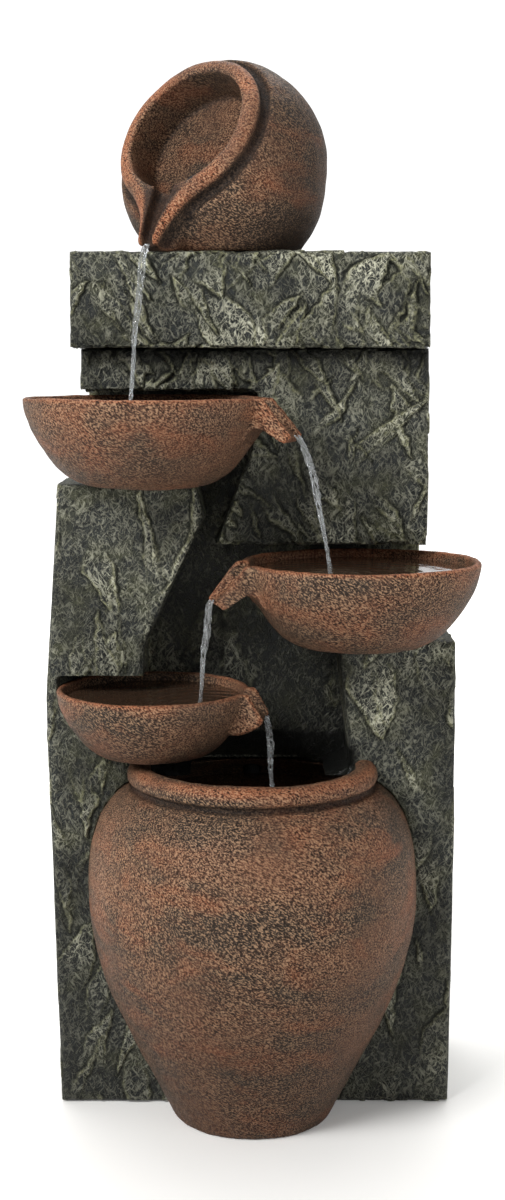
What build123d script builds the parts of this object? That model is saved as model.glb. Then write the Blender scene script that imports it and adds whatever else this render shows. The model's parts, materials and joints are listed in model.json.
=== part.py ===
"""Tall garden fountain: a jar pours into three bowls, then into an urn, all on a slate tower.

Frame: +X right, -Y front, +Z up, in millimetres. The origin is on the floor, at the tower's middle.
"""
from build123d import *
from math import radians, tan
import os

# The tower's front and back faces
TOWER_FRONT = -10.0
TOWER_BACK = 85.0

# Urn on the floor, which catches all the water
URN_X = 0.0
URN_Y = -105.0
URN_FOOT_RADIUS = 75.0
URN_BELLY_RADIUS = 155.0
URN_BELLY_HEIGHT = 232.0
URN_NECK_RADIUS = 106.0
URN_NECK_HEIGHT = 325.0
URN_WALL = 9.0
URN_FLOOR = 9.0
URN_RIM_ROUND = 12.0
URN_RIM_SEAT = 6.0
URN_TOP = URN_NECK_HEIGHT + URN_RIM_SEAT + URN_RIM_ROUND

# Bowls: centre, depth, radius and which way the spout points. The rims climb in steps from the urn
BOWL_WALL = 7.0
BOWL_FOOT_SHARE = 0.42
UPPER_BOWL_X = -97.0
UPPER_BOWL_HEIGHT = 81.0
UPPER_BOWL_RADIUS = 111.0
UPPER_BOWL_TURN = -14.0
MIDDLE_BOWL_X = 100.0
MIDDLE_BOWL_HEIGHT = 80.0
MIDDLE_BOWL_RADIUS = 110.0
MIDDLE_BOWL_TURN = 192.0
LOWER_BOWL_X = -93.0
LOWER_BOWL_HEIGHT = 65.0
LOWER_BOWL_RADIUS = 91.0
LOWER_BOWL_TURN = -10.0
SPOUT_WIDTH = 46.0
SPOUT_WALL = 6.0
SPOUT_REACH = 30.0
LOWER_SPOUT_REACH = 17.0
SPOUT_DROP = 34.0
LOWER_SPOUT_DROP = 25.0
SPOUT_DEPTH = 30.0
BOWL_STANDOFF = 3.0
LOWER_BOWL_STANDOFF = 4.0
UPPER_NICHE = 5.0
MIDDLE_NICHE = 8.0
LOWER_NICHE = 8.0
LOWER_BOWL_CLEAR = 5.0
MIDDLE_STEP = 122.0
UPPER_STEP = 149.0
LOWER_BOWL_RIM = URN_TOP + LOWER_BOWL_CLEAR + LOWER_BOWL_HEIGHT
MIDDLE_BOWL_RIM = LOWER_BOWL_RIM + MIDDLE_STEP
UPPER_BOWL_RIM = MIDDLE_BOWL_RIM + UPPER_STEP
UPPER_BOWL_Y = TOWER_FRONT - BOWL_STANDOFF - UPPER_BOWL_RADIUS
MIDDLE_BOWL_Y = TOWER_FRONT - BOWL_STANDOFF - MIDDLE_BOWL_RADIUS
LOWER_BOWL_Y = TOWER_FRONT - LOWER_BOWL_STANDOFF - LOWER_BOWL_RADIUS

# Tower and its stone slabs
TOWER_LEFT = -180.0
TOWER_RIGHT = 186.0
NECK_LEFT = -157.0
NECK_RIGHT = 162.0
WALL = 8.0
SLAB_WALL = 10.0
SLAB_FRONT = -96.0
UPPER_SLAB_FRONT = -70.0
CAP_FRONT = -95.0
CAP_LEFT = -168.0
CAP_RIGHT = 164.0
CAP_STEP = 44.0
CAP_BOTTOM = UPPER_BOWL_RIM + CAP_STEP
CAP_HEIGHT = 88.0
CAP_TOP = CAP_BOTTOM + CAP_HEIGHT
LEFT_SLAB_EDGE = -190.0
RIGHT_SLAB_EDGE = 192.0
SLAB_ROUND = 7.0
CHANNEL_LEFT = -102.0
CHANNEL_LEFT_TOP = -44.0
CHANNEL_LEFT_SHELF = 35.0
CHANNEL_LEFT_CREST = 37.0
CHANNEL_RIGHT_LOW = 92.0
CHANNEL_RIGHT_TOP = 80.0
CHANNEL_MIDDLE_DROP = 25.0
UPPER_SLAB_HEEL = 6.0
UPPER_SLAB_KNEE = -4.0
UPPER_SLAB_KNEE_RISE = 19.0
UPPER_SLAB_TOE = -36.0
BOND_GAP = 0.3
FIT_GAP = 0.3

# Pouring jar, tilted so that its mouth faces forward, left and up
JAR_MOUTH_RISE = 110.0
JAR_MOUTH = Vector(-59.0, -55.0, CAP_TOP + JAR_MOUTH_RISE)
JAR_FACING = Vector(-0.54, -0.69, 0.49)
JAR_DOWNHILL = Vector(-0.30, -0.38, -0.866)
JAR_X = -27.0
JAR_Y = -14.0
JAR_RADIUS = 98.0
JAR_BASE_RADIUS = 70.0
JAR_BELLY_HEIGHT = 83.0
JAR_WALL = 8.0
JAR_RIM_RADIUS = 78.0
JAR_DISH_RADIUS = 62.0
JAR_DISH_DEPTH = 34.0
JAR_SHOULDER = 8.0
JAR_RIM_BACK = 18.0
JAR_RIM_PROUD = 7.0
JAR_RIM_ROUND = 9.0
JAR_LIP_REACH = 121.0
JAR_LIP_HALF = 11.5
JAR_LIP_ROOT_HALF = 63.0
JAR_LIP_ROOT = 45.0
JAR_LIP_WAIST = 26.0
JAR_APRON = 24.0
JAR_APRON_TAPER = 12.0
JAR_CHANNEL = 24.0
JAR_CHANNEL_TIP = 10.0
JAR_CHANNEL_DEPTH = 11.0
JAR_NOZZLE_OFFSET = 40.0

# Bulkhead nozzle through the jar's dish
NOZZLE_RADIUS = 9.0
NOZZLE_BORE = 4.0
NOZZLE_FLANGE = 14.0
NOZZLE_FLANGE_THICK = 3.0
NOZZLE_GASKET = 2.0
NOZZLE_NUT = 14.0
NOZZLE_NUT_THICK = 6.0
NOZZLE_THREAD_GAP = 0.05
NOZZLE_TUBE_RUN = 66.0

# Riser tube and its fittings
TUBE_RADIUS = 8.0
TUBE_BORE = 6.0
TUBE_FIT = 0.05
TUBE_HOLE = 9.5
BARB_LENGTH = 22.0
TUBE_RISE_TOP = URN_NECK_HEIGHT - 100.0
TUBE_BACK_Y = 45.0
TUBE_BACK_LOW = URN_NECK_HEIGHT - 25.0
TUBE_BACK_HIGH = CAP_BOTTOM - 128.0
TUBE_NECK = CAP_BOTTOM - 63.0
TUBE_BEND_SHARE = 0.45
CAP_TUBE_HOLE = 22.0
CLAMP_WIDTH = 8.0
CLAMP_THICK = 1.2
CLIP_HEIGHTS = (500.0, 545.0)
CLIP_WIDTH = 12.0
CLIP_THICK = 3.0
CLIP_GAP = 0.5

# Pump on the urn's floor, its rotor along Y
PUMP_X = 0.0
PUMP_Y = -105.0
PUMP_WIDTH = 54.0
PUMP_DEPTH = 44.0
PUMP_HEIGHT = 46.0
PUMP_ROUND = 5.0
FOOT_HEIGHT = 6.0
FOOT_RADIUS = 7.0
ROTOR_RADIUS = 8.0
ROTOR_LENGTH = 24.0
ROTOR_GAP = 0.5
SHAFT_RADIUS = 1.5
SHAFT_GAP = 0.05
BUSH_RADIUS = 4.0
BUSH_LENGTH = 4.0
IMPELLER_RADIUS = 14.0
IMPELLER_THICK = 2.0
BLADE_COUNT = 6
BLADE_WIDTH = 1.8
BLADE_LENGTH = 7.0
VOLUTE_RADIUS = 17.0
VOLUTE_DEPTH = 13.0
VOLUTE_PLATE = 3.0
INTAKE_RADIUS = 7.0
STRAINER_DEPTH = 16.0
STRAINER_WALL = 2.0
STRAINER_TRAVEL_GAP = 0.3
SLOT_COUNT = 7
SLOT_WIDTH = 2.6
DIAL_RADIUS = 8.0
DIAL_HEIGHT = 5.0
DIAL_STEM = 3.0
DIAL_Z_SHARE = 0.72

# Rear access door, its hinge and turn latch
DOOR_WIDTH = 140.0
DOOR_HEIGHT = 150.0
DOOR_BOTTOM = 320.0
DOOR_THICK = 6.0
DOOR_GAP = 1.5
DOOR_LEDGE = 6.0
HINGE_RADIUS = 5.0
HINGE_PIN_RADIUS = 2.5
HINGE_PIN_GAP = 0.05
KNUCKLE_LENGTH = 24.0
KNUCKLE_GAP = 0.5
HINGE_INSET = 42.0
HINGE_LEAF = 18.0
HINGE_LEAF_THICK = 2.5
HINGE_STANDOFF = 0.5
KNOB_RADIUS = 11.0
KNOB_HEIGHT = 12.0
LATCH_STEM = 4.0
LATCH_GAP = 0.1
TONGUE_LENGTH = 30.0
TONGUE_WIDTH = 10.0
TONGUE_THICK = 3.0
LATCH_EDGE = 14.0

# Bolts that carry the bowls, and the cable's grommet
BOLT_RADIUS = 3.0
BOLT_HEAD_RADIUS = 6.5
BOLT_HEAD = 4.0
BOLT_GAP = 0.3
BOLT_DROP = 22.0
WASHER_RADIUS = 8.0
NUT_RADIUS = 5.8
NUT_THICK = 5.0
SEAT_CUT = 4.5
SEAT_WALL = 4.0
GROMMET_X = 120.0
GROMMET_Z = 40.0
GROMMET_HOLE = 8.0
GROMMET_BORE = 3.5
GROMMET_FLANGE = 11.0
GROMMET_LIP = 2.5

UPPER_BOWL = dict(
    x=UPPER_BOWL_X, y=UPPER_BOWL_Y, rim=UPPER_BOWL_RIM,
    height=UPPER_BOWL_HEIGHT, radius=UPPER_BOWL_RADIUS, spout_turn=UPPER_BOWL_TURN,
    reach=SPOUT_REACH, drop=SPOUT_DROP, niche=UPPER_NICHE,
)
MIDDLE_BOWL = dict(
    x=MIDDLE_BOWL_X, y=MIDDLE_BOWL_Y, rim=MIDDLE_BOWL_RIM,
    height=MIDDLE_BOWL_HEIGHT, radius=MIDDLE_BOWL_RADIUS, spout_turn=MIDDLE_BOWL_TURN,
    reach=SPOUT_REACH, drop=SPOUT_DROP, niche=MIDDLE_NICHE,
)
LOWER_BOWL = dict(
    x=LOWER_BOWL_X, y=LOWER_BOWL_Y, rim=LOWER_BOWL_RIM,
    height=LOWER_BOWL_HEIGHT, radius=LOWER_BOWL_RADIUS, spout_turn=LOWER_BOWL_TURN,
    reach=LOWER_SPOUT_REACH, drop=LOWER_SPOUT_DROP, niche=LOWER_NICHE,
)
BOWLS = {"upper_bowl": UPPER_BOWL, "middle_bowl": MIDDLE_BOWL, "lower_bowl": LOWER_BOWL}
JAR_PLANE = Plane(origin=JAR_MOUTH, x_dir=JAR_DOWNHILL, z_dir=JAR_FACING)

# Places worked out from the sizes above
JAR_DISH_UNDER = -JAR_DISH_DEPTH - JAR_WALL
NOZZLE_END = JAR_DISH_UNDER - NOZZLE_NUT_THICK - 1
PUMP_BOTTOM = URN_FLOOR + FOOT_HEIGHT
PUMP_TOP = PUMP_BOTTOM + PUMP_HEIGHT
PUMP_FRONT = PUMP_Y - PUMP_DEPTH / 2
PUMP_SIDE = PUMP_X + PUMP_WIDTH / 2
ROTOR_Z = PUMP_BOTTOM + PUMP_HEIGHT * 0.45
OUTLET_FLANGE = 4.0
TUBE_START = PUMP_TOP + OUTLET_FLANGE
TUBE_FINISH = JAR_PLANE.from_local_coords(Vector(JAR_NOZZLE_OFFSET, 0, NOZZLE_END))
TUBE_BEND = JAR_PLANE.from_local_coords(Vector(JAR_NOZZLE_OFFSET, 0, NOZZLE_END - NOZZLE_TUBE_RUN))
TUBE_ROUTE = [
    (PUMP_X, PUMP_Y, TUBE_START),
    (PUMP_X, PUMP_Y, TUBE_RISE_TOP),
    (PUMP_X, TUBE_BACK_Y, TUBE_BACK_LOW),
    (TUBE_BEND.X, TUBE_BACK_Y, TUBE_BACK_HIGH),
    (TUBE_BEND.X, TUBE_BEND.Y, TUBE_NECK),
    tuple(TUBE_BEND),
    tuple(TUBE_FINISH),
]
DOOR_TOP = DOOR_BOTTOM + DOOR_HEIGHT
DOOR_MIDDLE = (DOOR_BOTTOM + DOOR_TOP) / 2
DOOR_FACE = TOWER_BACK - DOOR_THICK
HINGE_X = -DOOR_WIDTH / 2 - DOOR_GAP / 2
HINGE_Y = TOWER_BACK + HINGE_STANDOFF + HINGE_RADIUS
HINGE_HEIGHTS = (DOOR_MIDDLE - HINGE_INSET, DOOR_MIDDLE + HINGE_INSET)
LATCH_X = DOOR_WIDTH / 2 - LATCH_EDGE


def prism(points, front, back):
    """A solid from an outline of (x, z) points, between two depths in y."""
    outline = Polygon(*points, align=None)
    return extrude(Plane.XZ.offset(-back) * outline, back - front, dir=(0, -1, 0))


def hollow_prism(points, front, back, wall):
    """The outline's inside, one wall in, between two depths in y."""
    outline = offset(Polygon(*points, align=None), -wall, kind=Kind.INTERSECTION)
    return extrude(Plane.XZ.offset(-back) * outline, back - front, dir=(0, -1, 0))


def rod(radius, start, end):
    """A cylinder from one point to another."""
    start, end = Vector(*start), Vector(*end)
    plane = Plane(origin=start, z_dir=end - start)
    return extrude(plane * Circle(radius), (end - start).length)


def upright(radius, x, y, low, high):
    """A cylinder along z."""
    return rod(radius, (x, y, low), (x, y, high))


def level(radius, x, z, front, back):
    """A cylinder along y."""
    return rod(radius, (x, front, z), (x, back, z))


def tower_outline():
    """The hollow casting behind the slabs: wide below, narrow above."""
    left_top, right_top = left_slab_top() - BOND_GAP, right_slab_top() - BOND_GAP
    return [
        (TOWER_LEFT, 0), (TOWER_RIGHT, 0), (TOWER_RIGHT, right_top), (NECK_RIGHT, right_top),
        (NECK_RIGHT, CAP_BOTTOM), (NECK_LEFT, CAP_BOTTOM), (NECK_LEFT, left_top), (TOWER_LEFT, left_top),
    ]


def left_slab_top():
    return UPPER_BOWL["rim"] - UPPER_BOWL["height"]


def right_slab_top():
    return MIDDLE_BOWL["rim"] - MIDDLE_BOWL["height"]


# Vessel profiles, as half sections to turn about the upright axis

def bowl_profile(radius, height, swell=0.0):
    """Half section of a bowl: flat foot, round side, upright rim. Its foot is at z = 0."""
    foot = radius * BOWL_FOOT_SHARE
    side = Spline((foot, -swell), (radius * 0.82 + swell, height * 0.38), (radius + swell, height),
                  tangents=((1, 0.12), (0.06, 1)))
    lines = Polyline((radius + swell, height), (0, height), (0, -swell), (foot, -swell))
    return make_face([side, lines])


def bowl_body(bowl):
    """The shell and its beak spout, in the bowl's own frame with the foot at z = 0."""
    radius, height = bowl["radius"], bowl["height"]
    solid = revolve(Plane.XZ * bowl_profile(radius, height), Axis.Z)
    inner = revolve(Plane.XZ * bowl_profile(radius - BOWL_WALL, height - BOWL_WALL), Axis.Z)
    inner = Pos(0, 0, BOWL_WALL) * inner
    tip, low = radius + bowl["reach"], height - bowl["drop"]
    top = [(radius * 0.5, height), (radius + 3, height), (tip, low)]
    under = [(tip - 7, low - 7), (radius - 6, height - SPOUT_DEPTH - 9), (radius * 0.5, height * 0.4)]
    beak = prism(top + under, -SPOUT_WIDTH / 2, SPOUT_WIDTH / 2)
    floor = SPOUT_WALL + 5
    cut = [
        (radius * 0.5, height + 9), (tip + 30, height + 9), (tip + 30, low - 8),
        (tip - 4, low - 1), (radius - 4, height - floor), (radius * 0.5, height - floor),
    ]
    half = SPOUT_WIDTH / 2 - SPOUT_WALL
    channel = prism(cut, -half, half)
    return (solid + beak) - inner - channel


def place_bowl(shape, bowl):
    spot = Pos(bowl["x"], bowl["y"], bowl["rim"] - bowl["height"])
    return spot * Rot(0, 0, bowl["spout_turn"]) * shape


def bowl_pocket(bowl, gap):
    """Room for a bowl and for the air above its rim, cut out of the stone behind it."""
    body = revolve(Plane.XZ * bowl_profile(bowl["radius"], bowl["height"], gap), Axis.Z)
    air = extrude(Plane.XY.offset(bowl["height"] - gap) * Circle(bowl["radius"] + gap), bowl["niche"] + gap)
    return Pos(bowl["x"], bowl["y"], bowl["rim"] - bowl["height"]) * (body + air)


def urn_outline(swell=0.0):
    """Half section of the urn's outside up to the neck, closed on the axis."""
    foot = (URN_FOOT_RADIUS + swell, -swell)
    side = Spline(foot, (URN_BELLY_RADIUS + swell, URN_BELLY_HEIGHT),
                  (URN_NECK_RADIUS + swell, URN_NECK_HEIGHT), tangents=((0.5, 1), (-1, 0.35)))
    lines = Polyline((URN_NECK_RADIUS + swell, URN_NECK_HEIGHT), (0, URN_NECK_HEIGHT), (0, -swell), foot)
    return make_face([side, lines])


def urn_rim(swell=0.0):
    """The rolled rim: a ring of round section over the neck."""
    return Pos(0, 0, URN_NECK_HEIGHT + URN_RIM_SEAT) * Torus(URN_NECK_RADIUS, URN_RIM_ROUND + swell)


def urn_pocket(gap):
    """Room for the urn in the stone behind it."""
    return Pos(URN_X, URN_Y, 0) * revolve(Plane.XZ * urn_outline(gap), Axis.Z)


# Stone pieces

def front_rounded(solid, front):
    edges = [e for e in solid.edges() if abs(e.center().Y - front) < 0.01]
    return fillet(edges, SLAB_ROUND)


def vessel_pockets(gap):
    return [bowl_pocket(b, gap) for b in BOWLS.values()] + [urn_pocket(gap)]


def carve(solid):
    for pocket in vessel_pockets(FIT_GAP):
        solid -= pocket
    return solid


def tower_shell():
    outline = tower_outline()
    solid = prism(outline, TOWER_FRONT, TOWER_BACK)
    solid -= hollow_prism(outline, TOWER_FRONT + WALL, TOWER_BACK - WALL, WALL)
    solid = carve(solid)
    solid -= upright(TUBE_HOLE, TUBE_BEND.X, TUBE_BEND.Y, CAP_BOTTOM - 2 * WALL, CAP_BOTTOM + 1)
    solid -= door_opening()
    solid -= level(GROMMET_HOLE, GROMMET_X, GROMMET_Z, TOWER_BACK - 2 * WALL, TOWER_BACK + 1)
    for x, z in bolt_spots():
        solid -= level(BOLT_RADIUS + BOLT_GAP, x, z, TOWER_FRONT - 1, TOWER_FRONT + 2 * WALL)
    return solid


def cap_slab():
    outline = [(CAP_LEFT, CAP_BOTTOM), (CAP_RIGHT, CAP_BOTTOM), (CAP_RIGHT, CAP_TOP), (CAP_LEFT, CAP_TOP)]
    solid = front_rounded(prism(outline, CAP_FRONT, TOWER_BACK), CAP_FRONT)
    inside = [
        (CAP_LEFT + SLAB_WALL, CAP_BOTTOM - 1), (CAP_RIGHT - SLAB_WALL, CAP_BOTTOM - 1),
        (CAP_RIGHT - SLAB_WALL, CAP_TOP - SLAB_WALL), (CAP_LEFT + SLAB_WALL, CAP_TOP - SLAB_WALL),
    ]
    return solid - prism(inside, CAP_FRONT + SLAB_WALL, TOWER_BACK - SLAB_WALL) - tube_hole_in_cap()


def tube_hole_in_cap():
    low, high = CAP_TOP - 2 * SLAB_WALL, CAP_TOP + 1
    return upright(CAP_TUBE_HOLE, TUBE_BEND.X, TUBE_BEND.Y, low, high)


def stone_slab(outline, front):
    """A hollow cast slab, open at the back where it is bonded to the tower, with a wall round each niche."""
    back = TOWER_FRONT - BOND_GAP
    solid = front_rounded(prism(outline, front, back), front)
    hollow = hollow_prism(outline, front + SLAB_WALL, back + 1, SLAB_WALL)
    for data in BOWLS.values():
        hollow -= bowl_pocket(data, FIT_GAP + SLAB_WALL)
    return carve(solid - hollow)


def upper_slab():
    top, left_low = CAP_BOTTOM - BOND_GAP, UPPER_BOWL["rim"] + UPPER_BOWL["niche"] - 3
    right_low = MIDDLE_BOWL["rim"] + MIDDLE_BOWL["niche"]
    knee = left_slab_top() + UPPER_SLAB_KNEE_RISE
    outline = [
        (NECK_LEFT - 4, left_low), (UPPER_SLAB_HEEL, left_low), (UPPER_SLAB_KNEE, knee),
        (UPPER_SLAB_TOE, right_low),
        (NECK_RIGHT + 4, right_low), (NECK_RIGHT + 4, top), (NECK_LEFT - 4, top),
    ]
    return stone_slab(outline, UPPER_SLAB_FRONT)


def left_slab():
    top, low = left_slab_top(), URN_NECK_HEIGHT - CHANNEL_MIDDLE_DROP
    shelf, crest = LOWER_BOWL_RIM + CHANNEL_LEFT_SHELF, MIDDLE_BOWL_RIM + CHANNEL_LEFT_CREST
    outline = [
        (LEFT_SLAB_EDGE + 4, 0), (-BOND_GAP, 0), (-BOND_GAP, low), (CHANNEL_LEFT, URN_TOP + 2),
        (CHANNEL_LEFT, shelf), (CHANNEL_LEFT_TOP, crest), (CHANNEL_LEFT_TOP - 8, top),
        (LEFT_SLAB_EDGE + 8, top), (LEFT_SLAB_EDGE - 6, LOWER_BOWL_RIM - 13),
    ]
    return stone_slab(outline, SLAB_FRONT)


def right_slab():
    top, low = right_slab_top(), URN_NECK_HEIGHT - CHANNEL_MIDDLE_DROP
    outline = [
        (BOND_GAP, 0), (RIGHT_SLAB_EDGE - 1, 0), (RIGHT_SLAB_EDGE + 1, URN_BELLY_HEIGHT - 32),
        (RIGHT_SLAB_EDGE, top), (CHANNEL_RIGHT_TOP, top), (CHANNEL_RIGHT_LOW, URN_NECK_HEIGHT + 10),
        (BOND_GAP, low),
    ]
    return stone_slab(outline, SLAB_FRONT)


# Vessels

def bolt_seats(data):
    """Depths in y of a bowl's two flats: where the bolt's head rests inside, and the washer outside."""
    outside = data["y"] + data["radius"] - SEAT_CUT
    return outside - SEAT_WALL, outside


def bolt_spots():
    """Where each bowl's bolt crosses the tower's front wall: x and z."""
    return [(b["x"], b["rim"] - BOLT_DROP) for b in BOWLS.values()]


def bowl(name):
    data = BOWLS[name]
    solid = place_bowl(bowl_body(data), data)
    x, z = data["x"], data["rim"] - BOLT_DROP
    inside, outside = bolt_seats(data)
    deep = inside - 2 * WASHER_RADIUS
    solid -= level(BOLT_RADIUS + BOLT_GAP, x, z, deep, TOWER_FRONT)
    solid -= level(WASHER_RADIUS + BOLT_GAP, x, z, outside, TOWER_FRONT)
    return solid - level(WASHER_RADIUS + BOLT_GAP, x, z, deep, inside)


def urn():
    solid = revolve(Plane.XZ * urn_outline(), Axis.Z) + urn_rim()
    foot, mouth = (URN_FOOT_RADIUS - URN_WALL, URN_FLOOR), URN_NECK_RADIUS - URN_WALL
    inside = Spline(foot, (URN_BELLY_RADIUS - URN_WALL, URN_BELLY_HEIGHT), (mouth, URN_NECK_HEIGHT),
                    tangents=((0.5, 1), (-1, 0.35)))
    top = URN_NECK_HEIGHT + 3 * URN_RIM_ROUND
    lines = Polyline((mouth, URN_NECK_HEIGHT), (mouth, top), (0, top), (0, URN_FLOOR), foot)
    solid -= revolve(Plane.XZ * make_face([inside, lines]), Axis.Z)
    solid = Pos(URN_X, URN_Y, 0) * solid
    wide, corner = 4 * URN_NECK_RADIUS, (Align.CENTER, Align.MIN, Align.MIN)
    behind = Pos(URN_X, SLAB_FRONT - FIT_GAP, URN_NECK_HEIGHT + URN_RIM_SEAT - URN_RIM_ROUND) * Box(
        wide, wide, 4 * URN_RIM_ROUND, align=corner)
    return solid - behind - swept(Circle(TUBE_HOLE))


def lip_outline():
    """The pouring lip seen square to the mouth: two ogee sides that draw in to a narrow tip."""
    root, tip = (JAR_LIP_ROOT, JAR_LIP_ROOT_HALF), (JAR_LIP_REACH, JAR_LIP_HALF)
    waist = ((JAR_LIP_ROOT + JAR_LIP_REACH) / 2, JAR_LIP_WAIST)
    side = Spline(root, waist, tip, tangents=((0.82, -0.57), (1, -0.2)))
    half = make_face([side, Polyline(tip, (JAR_LIP_REACH, 0), (JAR_LIP_ROOT, 0), root)])
    return half + mirror(half, Plane.XZ)


def jar_body(inset=0.0):
    """The jar's round body, turned about an upright axis and set on the cap slab."""
    base, belly = (JAR_BASE_RADIUS - inset, -inset), (JAR_RADIUS - inset, JAR_BELLY_HEIGHT)
    flank = (0.92 * JAR_RADIUS - inset, 0.4 * JAR_BELLY_HEIGHT)
    side = Spline(base, flank, belly, tangents=((0.7, 1), (0, 1)))
    crown = CenterArc((0, JAR_BELLY_HEIGHT), JAR_RADIUS - inset, 0, 90)
    face = make_face([side, crown, Polyline(crown @ 1, (0, -inset), base)])
    return Pos(JAR_X, JAR_Y, CAP_TOP) * revolve(Plane.XZ * face, Axis.Z)


def at_mouth(shape):
    return JAR_PLANE.location * shape


def jar():
    lip = lip_outline()
    outline = Circle(JAR_RIM_RADIUS) + lip
    rim = extrude(Plane.XY.offset(-JAR_RIM_BACK) * outline, JAR_RIM_BACK + JAR_RIM_PROUD)
    rim = fillet(rim.edges().group_by(Axis.Z)[-1], JAR_RIM_ROUND)
    apron = extrude(Plane.XY.offset(-JAR_RIM_BACK) * lip, -JAR_APRON, taper=JAR_APRON_TAPER)
    wide = 4 * JAR_RADIUS
    solid = jar_body() - at_mouth(Pos(0, 0, wide / 2 - JAR_SHOULDER) * Box(wide, wide, wide))
    solid += at_mouth(rim)
    solid += at_mouth(apron)
    solid -= at_mouth(Pos(0, 0, wide / 2 - JAR_DISH_DEPTH) * Cylinder(JAR_DISH_RADIUS, wide))
    start, end = JAR_DISH_RADIUS - 8, JAR_LIP_REACH + 12
    root, tip = JAR_CHANNEL / 2, JAR_CHANNEL_TIP / 2
    channel = Polygon((start, -root), (end, -tip), (end, tip), (start, root), align=None)
    groove = extrude(Plane.XY.offset(JAR_RIM_PROUD - JAR_CHANNEL_DEPTH) * channel, 2 * JAR_CHANNEL_DEPTH)
    solid -= at_mouth(groove)
    solid -= jar_body(JAR_WALL) - at_mouth(Pos(0, 0, wide / 2 + JAR_DISH_UNDER) * Box(wide, wide, wide))
    solid -= at_mouth(upright(NOZZLE_RADIUS + FIT_GAP, JAR_NOZZLE_OFFSET, 0, JAR_DISH_UNDER - JAR_WALL, 0))
    return solid - Pos(0, 0, CAP_TOP - wide / 2) * Box(wide, wide, wide)


# Water works

def tube_radii():
    """Each corner's arc, as large as its two runs allow."""
    radii = []
    for a, b, c in zip(TUBE_ROUTE, TUBE_ROUTE[1:], TUBE_ROUTE[2:]):
        first, second = Vector(*b) - Vector(*a), Vector(*c) - Vector(*b)
        half_turn = radians(first.get_angle(second) / 2)
        radii.append(TUBE_BEND_SHARE * min(first.length, second.length) / tan(half_turn))
    return radii


def tube_path():
    return FilletPolyline(*TUBE_ROUTE, radius=tube_radii())


def swept(section):
    path = tube_path()
    start = Plane(origin=path @ 0, z_dir=path % 0)
    return sweep(start * section, path=path)


def riser_tube():
    return swept(Circle(TUBE_RADIUS) - Circle(TUBE_BORE))


def tube_x(height):
    """Where the tube stands across the tower on its long upright run."""
    share = (height - TUBE_BACK_LOW) / (TUBE_BACK_HIGH - TUBE_BACK_LOW)
    return PUMP_X + share * (TUBE_BEND.X - PUMP_X)


def hose_clamps():
    """A worm clamp on each end of the tube: a band and its screw housing."""
    inside = TUBE_RADIUS + TUBE_FIT
    band = extrude(Circle(inside + CLAMP_THICK) - Circle(inside), CLAMP_WIDTH)
    housing = Pos(inside + 4, 0, CLAMP_WIDTH / 2) * Box(7, 10, CLAMP_WIDTH)
    clamp = band + (housing - Cylinder(inside, 4 * CLAMP_WIDTH))
    low = Pos(PUMP_X, PUMP_Y, TUBE_START + CLAMP_WIDTH) * clamp
    high = JAR_PLANE.location * Pos(JAR_NOZZLE_OFFSET, 0, NOZZLE_END - 2 * CLAMP_WIDTH) * clamp
    return Compound(children=[low, high])


def tube_clips():
    """Saddle clips that hold the tube to the tower's back wall."""
    clips = []
    inside = TUBE_RADIUS + CLIP_GAP
    reach = TOWER_BACK - WALL - TUBE_BACK_Y
    for height in CLIP_HEIGHTS:
        ring = Cylinder(inside + CLIP_THICK, CLIP_WIDTH) - Cylinder(inside, CLIP_WIDTH)
        stem = Pos(0, (inside + 1 + reach) / 2, 0) * Box(CLIP_WIDTH, reach - inside - 1, CLIP_WIDTH)
        clips.append(Pos(tube_x(height), TUBE_BACK_Y, height) * (ring + stem))
    return Compound(children=clips)


def jar_nozzle():
    """Threaded bulkhead fitting: flange in the dish, thread through it, barb below."""
    flange_under = -JAR_DISH_DEPTH + NOZZLE_GASKET
    body = rod(NOZZLE_FLANGE, (0, 0, flange_under), (0, 0, flange_under + NOZZLE_FLANGE_THICK))
    body += rod(NOZZLE_RADIUS, (0, 0, NOZZLE_END), (0, 0, flange_under))
    body += rod(TUBE_BORE - TUBE_FIT, (0, 0, NOZZLE_END - BARB_LENGTH), (0, 0, NOZZLE_END))
    body -= rod(NOZZLE_BORE, (0, 0, NOZZLE_END - BARB_LENGTH - 1), (0, 0, 0))
    return at_nozzle(body)


def at_nozzle(shape):
    return JAR_PLANE.location * Pos(JAR_NOZZLE_OFFSET, 0, 0) * shape


def nozzle_gasket():
    ring = Circle(NOZZLE_FLANGE) - Circle(NOZZLE_RADIUS + NOZZLE_THREAD_GAP)
    return at_nozzle(extrude(Plane.XY.offset(-JAR_DISH_DEPTH) * ring, NOZZLE_GASKET))


def nozzle_nut():
    ring = RegularPolygon(NOZZLE_NUT, 6) - Circle(NOZZLE_RADIUS + NOZZLE_THREAD_GAP)
    return at_nozzle(extrude(Plane.XY.offset(JAR_DISH_UNDER - NOZZLE_NUT_THICK) * ring, NOZZLE_NUT_THICK))


def along_rotor(radius, start, end):
    """A cylinder on the pump's rotor axis, between two depths in y."""
    return rod(radius, (PUMP_X, start, ROTOR_Z), (PUMP_X, end, ROTOR_Z))


WELL_END = PUMP_FRONT + VOLUTE_DEPTH + ROTOR_LENGTH + 2 * ROTOR_GAP


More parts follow.
